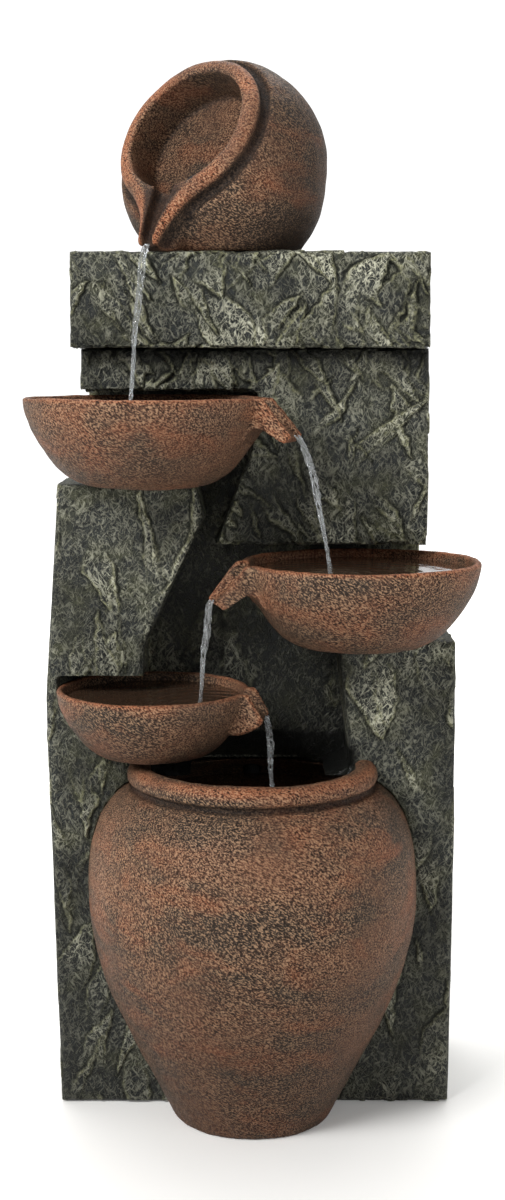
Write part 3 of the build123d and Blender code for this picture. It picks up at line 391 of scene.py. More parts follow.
# %% Terracotta colour
CLAY = "6b4a38"
smoky = add_node(tree, "ShaderNodeMapRange", {
    "Value": smoke.outputs["Fac"], "From Min": 0.38, "From Max": 0.58, "To Min": 0.0, "To Max": 0.95})
warm = add_node(tree, "ShaderNodeMapRange", {
    "Value": blush.outputs["Fac"], "From Min": 0.5, "From Max": 0.7, "To Min": 0.0, "To Max": 0.75})
handled = add_node(tree, "ShaderNodeMapRange", {
    "Value": rubbed.outputs["Fac"], "From Min": 0.4, "From Max": 0.6, "To Min": 0.2, "To Max": 0.85})
rim_wear_and_highlight = add_node(tree, "ShaderNodeMath", {0: edge, 1: handled.outputs[0]}, operation="MULTIPLY")
texture = add_node(tree, "ShaderNodeMapRange", {
    "Value": rubbed.outputs["Fac"], "From Min": 0.36, "From Max": 0.56, "To Min": 0.6, "To Max": 1.0})
wash = add_node(tree, "ShaderNodeMapRange", {
    "Value": pits.outputs["Fac"], "From Min": 0.38, "From Max": 0.49, "To Min": 0.95, "To Max": 0.0})
wash = add_node(tree, "ShaderNodeMath", {
    0: wash.outputs[0], 1: texture.outputs[0]}, operation="MULTIPLY")
ridges = add_node(tree, "ShaderNodeMapRange", {
    "Value": pits.outputs["Fac"], "From Min": 0.51, "From Max": 0.62, "To Min": 0.0, "To Max": 0.6})
ridges = add_node(tree, "ShaderNodeMath", {
    0: ridges.outputs[0], 1: texture.outputs[0]}, operation="MULTIPLY")
terracotta_coats = (
    (smoky.outputs[0], "3a322b"),
    (warm.outputs[0], "854f35"),
    # orange on rims and crowns: wear together with a painted highlight
    (rim_wear_and_highlight.outputs[0], "a3603f"),
    (wash.outputs[0], "1f150e"),
    (ridges.outputs[0], "ae8b6c"),
    # painted shade on undersides, low parts and the jar's dish, right side and lip gutter
    (painted_shade, "211813"),
    # painted shade in creases and hollow corners
    (crack_shade, "120d0b"),
)
colour = linear(CLAY)
for share, code in terracotta_coats:
    coat = add_node(tree, "ShaderNodeMix", {0: share, 6: colour, 7: linear(code)}, data_type="RGBA")
    colour = coat.outputs[2]
tree.links.new(colour, shader.inputs["Base Color"])
print(terracotta.name, len(terracotta_coats), "coats")

# %% [markdown]
# Old terracotta has hardly any gloss. Its roughness varies with the sand in it, and the pits that
# hold the wash are pressed in by the bump.

# %% Terracotta gloss
SAND_SHARE = 0.3
PIT_DEPTH = 0.7 * MM

shader.inputs["Specular IOR Level"].default_value = 0.16
rough = add_node(tree, "ShaderNodeMapRange", {
    "Value": sand.outputs["Fac"], "From Min": 0.3, "From Max": 0.7, "To Min": 0.5, "To Max": 0.78})
tree.links.new(rough.outputs[0], shader.inputs["Roughness"])
height = add_node(tree, "ShaderNodeMath", {
    0: sand.outputs["Fac"], 1: SAND_SHARE}, operation="MULTIPLY")
height = add_node(tree, "ShaderNodeMath", {
    0: height.outputs[0], 1: wash.outputs[0]}, operation="SUBTRACT")
bump = add_node(tree, "ShaderNodeBump", {
    "Height": height.outputs[0], "Strength": 0.8, "Distance": PIT_DEPTH})
tree.links.new(bump.outputs["Normal"], shader.inputs["Normal"])
print(terracotta.name, len(tree.nodes), "nodes")

# %% [markdown]
# ## From a CAD solid to a casting
# A CAD solid has perfect edges. A casting has soft ones. Each stone and vessel is a copy of its CAD
# node. Its loose triangles are merged, a voxel remesh gives it an even skin that can take relief,
# and a smoothing pass rounds the edges off. A bevel would round the edges alike all over and leave
# large flat faces with no points to move.

# %% Casting
MERGE = 0.02 * MM


def casting(node, name, voxel, smoothing):
    """A remeshed copy of a CAD node, with soft edges."""
    piece = bpy.data.objects.new(name, frame["nodes"][node].data.copy())
    bpy.context.scene.collection.objects.link(piece)
    select_only(piece)
    bpy.ops.object.mode_set(mode="EDIT")
    bpy.ops.mesh.select_all(action="SELECT")
    bpy.ops.mesh.remove_doubles(threshold=MERGE)
    bpy.ops.object.mode_set(mode="OBJECT")
    skin = piece.modifiers.new("even_skin", "REMESH")
    skin.mode = "VOXEL"
    skin.voxel_size = voxel
    skin.use_smooth_shade = True
    bpy.ops.object.modifier_apply(modifier=skin.name)
    soften = piece.modifiers.new("soft_edges", "SMOOTH")
    soften.factor = 0.5
    soften.iterations = smoothing
    bpy.ops.object.modifier_apply(modifier=soften.name)
    print(name, "cast in", round(voxel / MM, 1), "mm voxels:", len(piece.data.vertices), "points")
    return piece


print(len(frame["nodes"]), "CAD nodes to cast from")

# %% [markdown]
# Relief on so many thousand points is slow point by point, so the points are read into an array, moved
# together and written back. The same way, a value for each point becomes an attribute that the paint
# can read.

# %% Reading and writing a skin
def skin_points(piece):
    points = np.empty(len(piece.data.vertices) * 3)
    piece.data.vertices.foreach_get("co", points)
    return points.reshape(-1, 3)


def skin_normals(piece):
    normals = np.empty(len(piece.data.vertices) * 3, np.float32)
    piece.data.vertex_normals.foreach_get("vector", normals)
    return normals.reshape(-1, 3).astype(float)


def set_points(piece, points):
    """Moves the vertices, none of them below the floor."""
    points[:, 2] = np.maximum(points[:, 2], 0)
    piece.data.vertices.foreach_set("co", points.ravel())
    piece.data.update()


def store(piece, name, values):
    attribute = piece.data.attributes.new(name, "FLOAT", "POINT")
    attribute.data.foreach_set("value", np.asarray(values, np.float32))


def smooth_step(low, high, values):
    """From 0 at low to 1 at high, with soft ends. Low may be the larger one."""
    share = np.clip((values - low) / (high - low), 0, 1)
    return share * share * (3 - 2 * share)


print("a quarter of the way, the soft step is at", float(smooth_step(0.0, 1.0, np.float64(0.25))))

# %% [markdown]
# The paint needs to know which edges stand out and which corners lie deep. A vertex that lies above
# the mean of its neighbours is on an edge, and one below is in a corner. That difference, spread
# over a few neighbours, becomes two attributes: "edge", painted pale as wear and painted highlight,
# and one for the corners, painted dark as painted shade.

# %% Edges and corners
SPREAD = 2


def neighbour_mean(piece, values, rounds):
    """Values spread over each vertex's neighbours, a given number of times."""
    ends = np.empty(len(piece.data.edges) * 2, np.int64)
    piece.data.edges.foreach_get("vertices", ends)
    first, second = ends[0::2], ends[1::2]
    count = len(values)
    degree = np.bincount(first, minlength=count) + np.bincount(second, minlength=count)
    for _ in range(rounds):
        total = np.bincount(first, values[second], count) + np.bincount(second, values[first], count)
        values = total / np.maximum(degree, 1)
    return values


def mean_points(piece, points, rounds):
    return np.stack([neighbour_mean(piece, points[:, i], rounds) for i in range(3)], axis=1)


def edges_of(piece, reach, edge_range, crack_range):
    """How far each vertex stands above or below its surroundings, from 0 to 1: the edge, which gets wear
    and a painted highlight, and the corner, which gets painted shade.

    The ranges are in millimetres.
    """
    points, normals = skin_points(piece), skin_normals(piece)
    rise = ((points - mean_points(piece, points, reach)) * normals).sum(1)
    rise = neighbour_mean(piece, rise, SPREAD)
    edge = smooth_step(edge_range[0] * MM, edge_range[1] * MM, rise)
    return edge, smooth_step(crack_range[0] * MM, crack_range[1] * MM, -rise)


print("edges are spread over", SPREAD, "neighbours")

# %% [markdown]
# ## Slate relief
# Split slate is a stack of thin leaves. Each leaf starts flush with the face, thickens along its
# length and breaks off at a point, so one end fades out and the other ends in a step. A noise would
# give lumps and no leaves. So leaves are laid one after another on a flat drawing of each side, and
# where one lies higher than what is there already, it covers it. On the cap and the upper slab they
# lean to the left or to the right by about 60 degrees, and on the others they stand nearly upright.

# %% Leaf sizes
LEAF_LONG = (60 * MM, 170 * MM)
LEAF_SHORTENED = (0.5, 1.0)
SPLINTER_WIDE = (0.07, 0.17)
FLAKE_WIDE = (0.2, 0.42)
SPLINTER_SHARE = 0.55
LEAF_THICK = (0.35, 1.0)
LEAF_BASE = (0.0, 0.25)
LEAF_BULGE = (0.7, 1.5)
LEAF_POINTED = (0.8, 1.5)
HIGHEST_LEAF = 1.2
STEP_WIDTH = 0.9 * MM
FOOT_BAND = (-2.8 * MM, -1.0 * MM)
LIP_BAND = (3.2 * MM, 0.8 * MM)
CROSSED = (-58, 60, -40, 75, 122)
UPRIGHT = (-84, 80, 98, -100, 66)
LEAN_SHARES = (0.36, 0.3, 0.14, 0.1, 0.1)
LEAN_SPREAD = 9
MARGIN = 20 * MM
WOBBLES = ((1.3 * MM, 13 * MM, 11 * MM), (3.2 * MM, 48 * MM, 44 * MM))

print("leaves", [round(length / MM) for length in LEAF_LONG], "mm long")

# %% [markdown]
# A broken edge is never straight, so the drawing is wobbled before the leaves are laid on it. The
# wobble comes from a few crossing waves, which is a noise that numpy can work out for all points at
# once. The foot of each step is kept for its painted shadow, and its top for the worn edge with a
# painted highlight.

# %% Laying the leaves
def ripple(points, length, seed):
    """A slow bumpiness from -1 to 1, from a few crossing waves."""
    rng = np.random.default_rng(seed)
    total = np.zeros(len(points))
    for _ in range(9):
        wave = rng.normal(size=points.shape[1])
        wave *= 2 * math.pi / (length * rng.uniform(0.7, 1.5)) / np.linalg.norm(wave)
        total += np.sin(points @ wave + rng.uniform(0, 2 * math.pi))
    return total / 4.5


def wobbled(flat, seed):
    """Flat coordinates with a fine and a wide wobble."""
    wobble = np.zeros_like(flat)
    for size, across, up in WOBBLES:
        waves = [ripple(flat, across, seed + 1), ripple(flat, up, seed + 2)]
        wobble += size * np.stack(waves, axis=1)
        seed += 2
    return flat + wobble


def leaves(flat, leans, density, seed):
    """Leaves laid on flat coordinates, so many per square metre.

    Gives the height from 0 to 1, the painted shadow line at the foot of each step and the worn line on
    top, which also carries a painted highlight.
    """
    rng = np.random.default_rng(seed)
    low, high = flat.min(0), flat.max(0)
    count = int(density * np.prod(high - low + 2 * MARGIN))
    moved = wobbled(flat, seed)
    height, foot, lip = np.zeros((3, len(flat)))
    for _ in range(count):
        centre = rng.uniform(low - MARGIN, high + MARGIN)
        long_half = rng.uniform(*LEAF_LONG) * rng.uniform(*LEAF_SHORTENED) / 2
        wide = SPLINTER_WIDE if rng.random() < SPLINTER_SHARE else FLAKE_WIDE
        wide_half = long_half * rng.uniform(*wide)
        lean = math.radians(rng.choice(leans, p=LEAN_SHARES) + rng.normal(0, LEAN_SPREAD))
        thick = rng.uniform(*LEAF_THICK)
        base = rng.uniform(*LEAF_BASE)
        away = moved - centre
        near = np.flatnonzero((np.abs(away) < 1.3 * long_half).all(1))
        along = (away[near, 0] * math.cos(lean) + away[near, 1] * math.sin(lean)) / long_half
        across = away[near, 1] * math.cos(lean) - away[near, 0] * math.sin(lean)
        one_side, other_side = rng.uniform(*LEAF_BULGE), rng.uniform(*LEAF_BULGE)
        across = np.where(across > 0, across * one_side, -across * other_side)
        side = wide_half * np.clip(1 - np.abs(along) ** rng.uniform(*LEAF_POINTED), 0, 1)
        within = np.abs(along) < 1
        inside = smooth_step(-STEP_WIDTH, STEP_WIDTH, side - across) * within
        plate = base * smooth_step(-1.0, -0.4, along) + thick * smooth_step(-0.7, 0.95, along)
        step = smooth_step(0.12, 0.6, plate - height[near])
        covered = inside * step
        band = smooth_step(*FOOT_BAND, side - across) * (1 - inside) * within
        worn_and_lit_edge = inside * smooth_step(*LIP_BAND, side - across)
        foot[near] = np.maximum(foot[near] * (1 - covered), band * step)
        lip[near] = np.maximum(lip[near] * (1 - covered), worn_and_lit_edge * step)
        height[near] = np.maximum(height[near], plate * inside)
    return np.minimum(height, HIGHEST_LEAF), foot, lip


sample = np.linspace((0, 0), (100 * MM, 100 * MM), 50)
print("a sample line wobbles by", round(np.abs(wobbled(sample, 1) - sample).max() / MM, 1), "mm at most")

# %% [markdown]
# The running water keeps some of the stone wet and dark: the wall of the channel and where the upper
# stream splashes. Painted shade darkens the channel's side faces, the band under the cap and the stone
# towards the foot. The channel wall is partly painted shade too, and the wall behind the urn's mouth is
# wet and in painted shade. Each pair of sizes says where the darkening starts and where it is full.

# %% Wet and shaded stone
CHANNEL_SIDES = (104 * MM, 96 * MM)
CHANNEL_TOP = (735 * MM, 725 * MM)
CHANNEL_WALL = (-18 * MM, -14 * MM)
FACING_FRONT = (-0.3, -0.6)
FACING_ASIDE = (0.5, 0.75)
MOUTH_SIDES = (105 * MM, 94 * MM)
MOUTH_TOP = (360 * MM, 350 * MM)
MOUTH_BACK = (-93 * MM, -84 * MM)
MOUTH_LEDGE = (300 * MM, 306 * MM)
CAP_SHADE = (650 * MM, 726 * MM)
CAP_UNDERSIDE = (734 * MM, 727 * MM)
CAP_GAP = (708 * MM, 724 * MM)
CAP_FRONT = -85 * MM
LOW_DOWN = (380 * MM, 80 * MM)
SPLASH_RIGHT = (110 * MM, 30 * MM)
SPLASH_LEFT = (-20 * MM, 0)
SPLASH_TOP = (670 * MM, 600 * MM)
SPLASH_FOOT = (500 * MM, 520 * MM)


def wet_and_shade_of(points, normals):
    """How wet and shaded the stone is, from 0 to 1."""
    x, y, z = points.T
    # wall and splash are wet stone, and the wall is partly painted shade; flank, cap and low are painted
    # shade; the mouth is wet and painted shade
    inward = smooth_step(*CHANNEL_SIDES, np.abs(x)) * smooth_step(*CHANNEL_TOP, z)
    wall = 0.62 * inward * smooth_step(*CHANNEL_WALL, y) * smooth_step(*FACING_FRONT, normals[:, 1])
    flank = 0.55 * inward * smooth_step(*FACING_ASIDE, np.abs(normals[:, 0]))
    mouth = smooth_step(*MOUTH_SIDES, np.abs(x)) * smooth_step(*MOUTH_TOP, z)
    mouth *= np.clip(smooth_step(*MOUTH_BACK, y) + smooth_step(*MOUTH_LEDGE, z), 0, 1)
    cap = smooth_step(*CAP_SHADE, z) * smooth_step(*CAP_UNDERSIDE, z) * (y > CAP_FRONT)
    cap = 0.3 * cap + 0.5 * smooth_step(*CAP_GAP, z) * cap
    low = 0.36 * smooth_step(*LOW_DOWN, z)
    splash = smooth_step(*SPLASH_RIGHT, x) * smooth_step(*SPLASH_LEFT, x)
    splash *= 0.4 * smooth_step(*SPLASH_TOP, z) * smooth_step(*SPLASH_FOOT, z)
    return np.max([wall, flank, 0.95 * mouth, cap, low, splash], axis=0)


foot_of_tower = np.array([[190 * MM, -70 * MM, 0.0]])
print("damp at the foot", float(wet_and_shade_of(foot_of_tower, np.array([[0.0, -1.0, 0.0]]))[0]))

# %% [markdown]
# A slab has six sides, and a flat drawing fits only one. So each point takes the drawing of the side
# that it faces most. The sides get less relief than the front and the backs get none, because the
# real castings are plain there.

# %% Split slate
SIDE_SHARE = 0.45
BACK_RELIEF = 0.3
SWELL = 75 * MM
PIMPLE = 9 * MM
SIDES = ((1, 2), (0, 2), (0, 1))


def split_slate(piece, depth, leans, density, seed):
    """Moves a casting's skin out as split slate, and stores what its paint needs to know."""
    points, normals = skin_points(piece), skin_normals(piece)
    facing = np.abs(normals).argmax(1)
    height, foot, lip = np.zeros((3, len(points)))
    for axis, pair in enumerate(SIDES):
        here = np.flatnonzero(facing == axis)
        if len(here):
            height[here], foot[here], lip[here] = leaves(
                points[here][:, pair], leans, density, seed + 10 * axis)
    height += 0.16 * ripple(points, SWELL, seed) + 0.06 * ripple(points, PIMPLE, seed + 7)
    share = np.where(normals[:, 1] > 0.4, 0.0, np.where(normals[:, 1] < -0.6, 1.0, SIDE_SHARE))
    share = neighbour_mean(piece, share, 3)
    shown = np.clip(share / SIDE_SHARE, 0, 1)
    corner_edge, corner_crack = edges_of(piece, 5, (0.4, 1.2), (0.4, 1.4))
    move = depth * (height - 0.5 - 0.35 * foot) * share
    set_points(piece, points + normals * move[:, None])
    store(piece, "relief", np.clip(height * shown + BACK_RELIEF * (1 - shown), 0, 1))
    # worn edges and the top of each step, with a painted highlight
    store(piece, "edge", np.maximum(0.75 * lip * shown, corner_edge))
    # painted shade at the foot of each step and in hollow corners
    store(piece, "crack_shade", np.maximum(foot * shown, corner_crack))
    # wet stone together with painted shade, for the dark coat and the gloss
    store(piece, "wet_and_shade", wet_and_shade_of(points, normals))
    print(piece.name, "slate relief", round(float(np.ptp(height) * depth / MM), 1), "mm")


print("relief on the sides is", SIDE_SHARE, "of the front's")

# %% [markdown]
# The four slabs are cast one after another. A fine voxel is needed for sharp steps, and it gives more
# triangles than a piece should have, so a Decimate modifier then thins out the flat parts.

# %% Slate slabs
STONE_TRIANGLES = 185000


def thin_out(piece, target):
    """Fewer triangles, taken mostly from where the skin is flat."""
    piece.data.calc_loop_triangles()
    share = target / len(piece.data.loop_triangles)
    if share < 1:
        select_only(piece)
        thin = piece.modifiers.new("thin_out", "DECIMATE")
        thin.ratio = share
        bpy.ops.object.modifier_apply(modifier=thin.name)


# Each slab: its CAD node, voxel, depth of relief, leans, leaves per square metre and seed.
slabs = {
    "cap_stone": ("cap_slab", 1.5 * MM, 4.2 * MM, CROSSED, 1800, 11),
    "upper_stone": ("upper_slab", 1.5 * MM, 4.2 * MM, CROSSED, 1800, 23),
    "left_stone": ("left_slab", 1.8 * MM, 2.8 * MM, UPRIGHT, 600, 37),
    "right_stone": ("right_slab", 1.8 * MM, 2.8 * MM, UPRIGHT, 600, 51),
}
for name, (node, voxel, depth, leans, leaves_per_area, seed) in slabs.items():
    stone = casting(node, name, voxel, 3)
    split_slate(stone, depth, leans, leaves_per_area, seed)
    thin_out(stone, STONE_TRIANGLES)
    paint(stone, slate)
    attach(stone, "tower")
    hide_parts(node)
    print(name, len(stone.data.polygons), "faces")

# %% [markdown]
# ## The tower behind the slabs
# The tower is the dark wet wall that shows between the slabs, and its sides. Its back is plain and
# holds the door, so the CAD node stays there, with the same paint. A skin is laid over the front and
# the sides only: a casting of the tower, cut off short of the back with a bisect.

# %% Tower face
TOWER_VOXEL = 4.0 * MM
TOWER_RELIEF = 1.6 * MM
TOWER_LEAVES = 500
TOWER_SEED = 71
SKIN_LIFT = 1.9 * MM
BACK_CUT = 66 * MM

tower_face = casting("tower_shell", "tower_face", TOWER_VOXEL, 3)
select_only(tower_face)
bpy.ops.object.mode_set(mode="EDIT")
bpy.ops.mesh.select_all(action="SELECT")
bpy.ops.mesh.bisect(
    plane_co=(0, BACK_CUT, 0), plane_no=(0, 1, 0), clear_outer=True, use_fill=False)
bpy.ops.object.mode_set(mode="OBJECT")
points, normals = skin_points(tower_face), skin_normals(tower_face)
set_points(tower_face, points + normals * SKIN_LIFT)
split_slate(tower_face, TOWER_RELIEF, UPRIGHT, TOWER_LEAVES, TOWER_SEED)
paint(tower_face, slate)
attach(tower_face, "tower")
print("tower_face", len(tower_face.data.polygons), "faces")

# %% [markdown]
# ## The vessels
# A vessel is smoother than the slate. Its casting gets a slow unevenness, as if thrown by hand, and a
# faint dimpling. The rims and lips are found by the edge attribute, so the orange wear and a painted
# highlight land there. The urn's rolled rim stands clear of its body, so a crease is pressed in below
# it. Painted shade darkens the crease, and a painted highlight lies on the crown. The remesh alone
# would leave that corner blunt.

# %% The urn's rim
URN_AXIS = (0.0, -105 * MM)
URN_CREASE = (115 * MM, 323 * MM)
URN_CROWN = (112 * MM, 338 * MM)


def urn_rim(points):
    """The crease under the urn's rolled rim, and the crown on top of it, from 0 to 1."""
    out = np.hypot(points[:, 0] - URN_AXIS[0], points[:, 1] - URN_AXIS[1])
    crease = np.hypot(out - URN_CREASE[0], points[:, 2] - URN_CREASE[1])
    crown = np.hypot(out - URN_CROWN[0], points[:, 2] - URN_CROWN[1])
    return smooth_step(5.5 * MM, 1.5 * MM, crease), smooth_step(9 * MM, 2 * MM, crown)


print("urn's crease at", round(URN_CREASE[1] / MM), "mm, crown at", round(URN_CROWN[1] / MM), "mm")

# %% [markdown]
# The jar lies tilted, so its rim is measured in the jar's own directions: down the lip, to the side
# and out of the mouth. The rim is a ribbon round the mouth that narrows into the pouring lip, and its
# crown gets a painted highlight. Beyond it lies a crease with painted shade, inside it the dish, and
# the gutter of the lip gets painted shade.

# %% The jar's rim
JAR_MOUTH = np.array([-59, -55, 926]) * MM
JAR_FACING = np.array([-0.54, -0.69, 0.49])
JAR_DOWNHILL = np.array([-0.30, -0.38, -0.866])
JAR_RIM = 78 * MM
LIP_STATIONS = np.array([45, 64, 83, 102, 121]) * MM
LIP_HALF_WIDTHS = np.array([63, 41, 26, 17, 11.5]) * MM


def jar_rim(points):
    """The crease outside the jar's rim, its crown, the dish and the lip's gutter, from 0 to 1."""
    down = (points - JAR_MOUTH) @ JAR_DOWNHILL
    side = np.abs((points - JAR_MOUTH) @ np.cross(JAR_FACING, JAR_DOWNHILL))
    up = (points - JAR_MOUTH) @ JAR_FACING
    half_width = np.interp(down, LIP_STATIONS, LIP_HALF_WIDTHS)
    lip = np.where(down > LIP_STATIONS[0], 0.8 * (side - half_width), 1.0)
    lip = np.maximum(lip, down - LIP_STATIONS[-1])
    beyond = np.minimum(np.hypot(down, side) - JAR_RIM, lip)
    crease = smooth_step(6 * MM, 1.5 * MM, np.abs(beyond - 2 * MM)) * smooth_step(2 * MM, -5 * MM, up)
    crease *= smooth_step(-24 * MM, -12 * MM, up)
    crown = smooth_step(-16 * MM, -11 * MM, beyond) * smooth_step(2 * MM, -2 * MM, beyond)
    gutter = smooth_step(0.66, 0.44, side / half_width)
    gutter *= smooth_step(52 * MM, 68 * MM, down) * smooth_step(-30 * MM, -20 * MM, up)
    crown *= smooth_step(-3 * MM, 3 * MM, up) * (1 - gutter)
    dish = smooth_step(-14 * MM, -18 * MM, beyond) * smooth_step(2 * MM, -6 * MM, up)
    return crease, crown, dish * smooth_step(-40 * MM, -34 * MM, up), gutter


print("jar's lip", round((LIP_STATIONS[-1] - LIP_STATIONS[0]) / MM), "mm long")

# %% [markdown]
# A spout grows out of its bowl in a soft curve, and its underside is an arch. The CAD solid has a
# straight underside and sharp inner corners. So the points below an arched line are lifted onto it,
# and the inner corners are then filled by drawing them towards the mean of their neighbours.

# %% Spouts
UPPER_AXIS = (-97 * MM, -124 * MM)
MIDDLE_AXIS = (100 * MM, -123 * MM)
LOWER_AXIS = (-93 * MM, -105 * MM)
SPOUTS = {"upper_bowl": (UPPER_AXIS, -14), "middle_bowl": (MIDDLE_AXIS, 192)}
SPOUT_UNDERSIDE = 40 * MM
SPOUT_HALF_WIDTH = 26 * MM
ARCH_RISE = 14 * MM
ARCH_SPAN = (95 * MM, 107 * MM, 137 * MM)
FILL_REACH = 26


def arch_spout(piece, axis, turn):
    """Hollows the underside of a spout into an arch between the bowl's side and the tip."""
    points = skin_points(piece)
    ahead = np.array([math.cos(math.radians(turn)), math.sin(math.radians(turn))])
    away = points[:, :2] - np.array(axis)
    along = away @ ahead
    aside = np.abs(away[:, 0] * ahead[1] - away[:, 1] * ahead[0])
    start, peak, end = ARCH_SPAN
    rise = ARCH_RISE * smooth_step(start, peak, along) * smooth_step(end, peak, along)
    line = points[:, 2].max() - SPOUT_UNDERSIDE + rise
    lifted = np.maximum(points[:, 2], line)
    points[:, 2] = np.where((aside < SPOUT_HALF_WIDTH) & (along > start), lifted, points[:, 2])
    set_points(piece, points)
    print(piece.name, "spout arched by", round(ARCH_RISE / MM), "mm")


def fill_corners(piece, reach):
    """Rounds out the inner corners, as where a spout grows out of its bowl."""
    points = skin_points(piece)
    crack_shade = edges_of(piece, 6, (0.4, 1.2), (0.3, 1.0))[1]
    share = np.clip(3 * neighbour_mean(piece, crack_shade, reach // 2), 0, 1)[:, None]
    set_points(piece, points + (mean_points(piece, points, reach) - points) * share)


print(len(SPOUTS), "spouts to arch")

# %% [markdown]
# Five vessels share one recipe. One attribute holds the painted shade of undersides and low parts.
# On the jar it also holds the painted shade of the dish, the shaded right side and the gutter of the
# lip.

# %% Vessels
POT_TRIANGLES = 150000
UNEVEN = 0.8 * MM
THROWN = 70 * MM
DIMPLE = 16 * MM
CREASE_DEPTH = 2.6 * MM
LOW_SHADE = (270 * MM, 150 * MM)
JAR_SHADE = (-40 * MM, 70 * MM)
JAR_FOOT = (870 * MM, 816 * MM)

# Each vessel: its CAD node, voxel and seed.
vessels = {
    "upper_bowl_pot": ("upper_bowl", 2.1 * MM, 5),
    "middle_bowl_pot": ("middle_bowl", 2.1 * MM, 6),
    "lower_bowl_pot": ("lower_bowl", 2.1 * MM, 7),
    "urn_pot": ("urn", 2.2 * MM, 8),
    "pouring_pot": ("pouring_jar", 2.1 * MM, 9),
}
for name, (node, voxel, seed) in vessels.items():
    pot = casting(node, name, voxel, 4)
    if node in SPOUTS:
        arch_spout(pot, *SPOUTS[node])
    if node.endswith("bowl"):
        fill_corners(pot, FILL_REACH)
    edge, crack_shade = edges_of(pot, 6, (0.45, 1.3), (0.35, 1.3))
    points, normals = skin_points(pot), skin_normals(pot)
    height = 0.7 * ripple(points, THROWN, seed) + 0.3 * ripple(points, DIMPLE, seed + 40)
    # painted shade: darker on undersides and towards the bottom
    painted_shade = 0.45 * smooth_step(0.1, -0.8, normals[:, 2])
    painted_shade += 0.16 * smooth_step(*LOW_SHADE, points[:, 2])
    crease, crown = np.zeros((2, len(points)))
    if node == "urn":
        crease, crown = urn_rim(points)
    if node == "pouring_jar":
        crease, crown, dish, gutter = jar_rim(points)
        # painted shade on the jar's right side, its foot, its dish and the lip's gutter
        right = smooth_step(*JAR_SHADE, points[:, 0])
        low = smooth_step(*JAR_FOOT, points[:, 2])
        shade = np.maximum(0.3 * dish, 0.5 * right + 0.48 * low) * (1 - crown)
        painted_shade = np.max([painted_shade, shade, 0.85 * gutter], axis=0)
        edge *= 1 - gutter
    move = UNEVEN * height - CREASE_DEPTH * crease
    set_points(pot, points + normals * move[:, None])
    # edges get wear and a painted highlight, and the rim's crown gets a painted highlight
    store(pot, "edge", np.maximum(edge, 0.8 * crown))
    # painted shade in the rim's crease and in hollow corners
    store(pot, "crack_shade", np.maximum(crack_shade, 0.8 * crease))
    # painted shade
    store(pot, "painted_shade", painted_shade)
    thin_out(pot, POT_TRIANGLES)
    paint(pot, terracotta)
    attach(pot, "tower")
    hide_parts(node)
    print(name, len(pot.data.polygons), "faces")

# %% [markdown]
# ## Fittings
# The pump, tube, hinges and screws are made of four plain things: black moulded ABS, satin steel,
# black rubber and white alumina. Their CAD shapes are right, so they stay and only get a finish.
# Each finish has a fine grain, because nothing moulded or rolled is even.

# %% Fittings' finishes
GRAIN_HEIGHT = 0.1 * MM


def fitting_finish(name, code, metallic, rough, grain, stretch):
    """A finish whose roughness and tone vary with a grain, drawn coarser than real so that it shows."""
    material, tree, shader = new_material(name)
    place = add_node(tree, "ShaderNodeTexCoord").outputs["Object"]
    turned = add_node(tree, "ShaderNodeMapping", {"Vector": place, "Scale": stretch})
    speck = add_node(tree, "ShaderNodeTexNoise", {
        "Vector": turned.outputs[0], "Scale": 1 / grain, "Detail": 3.0}).outputs["Fac"]
    tone = add_node(tree, "ShaderNodeMapRange", {
        "Value": speck, "From Min": 0.3, "From Max": 0.7,
        "To Min": rough - 0.1, "To Max": rough + 0.1})
    tree.links.new(tone.outputs[0], shader.inputs["Roughness"])
    dull = [0.7 * channel for channel in linear(code)[:3]] + [1.0]
    colour = add_node(tree, "ShaderNodeMix", {0: speck, 6: dull, 7: linear(code)}, data_type="RGBA")
    tree.links.new(colour.outputs[2], shader.inputs["Base Color"])
    shader.inputs["Metallic"].default_value = metallic
    bump = add_node(tree, "ShaderNodeBump", {
        "Height": speck, "Strength": 0.15, "Distance": GRAIN_HEIGHT})
    tree.links.new(bump.outputs["Normal"], shader.inputs["Normal"])
    return material


finishes = {
    # Moulded ABS: near-black with a soft dull shine.
    "black_plastic": fitting_finish("moulded_black_abs", "1c1c1e", 0.0, 0.45, 0.9 * MM, (1, 1, 1)),
    # Satin steel: a bright metal with a drawn grain.
    "steel": fitting_finish("satin_steel", "b9b9b6", 1.0, 0.32, 0.5 * MM, (1, 1, 12)),
    # Rubber: the darkest and dullest.
    "rubber": fitting_finish("black_rubber", "141414", 0.0, 0.7, 1.2 * MM, (1, 1, 1)),
    # Alumina: a warm white ceramic, ground smooth.
    "ceramic_white": fitting_finish("white_alumina", "e6e3da", 0.0, 0.25, 0.8 * MM, (1, 1, 1)),
    "slate": slate,
}
for part in frame["record"]["subparts"]:
    if part["material_slot"] in finishes:
        paint(frame["nodes"][part["node"]], finishes[part["material_slot"]])
        print(part["node"], "in", finishes[part["material_slot"]].name)

# %% [markdown]
# ## Water
# Water's IOR is 1.33, and it is as smooth as glass. In the pools it is shallow and dark, because what
# shows through is the dark inside of the vessel. An opaque brown sheet would look like chocolate from
# above, so the pools only have a brown tint and let most of the light through. The streams are clear.

# %% Water materials
WATER_IOR = 1.33
STIR = 14 * MM
STIR_HEIGHT = 1.0 * MM
AIR = 6 * MM

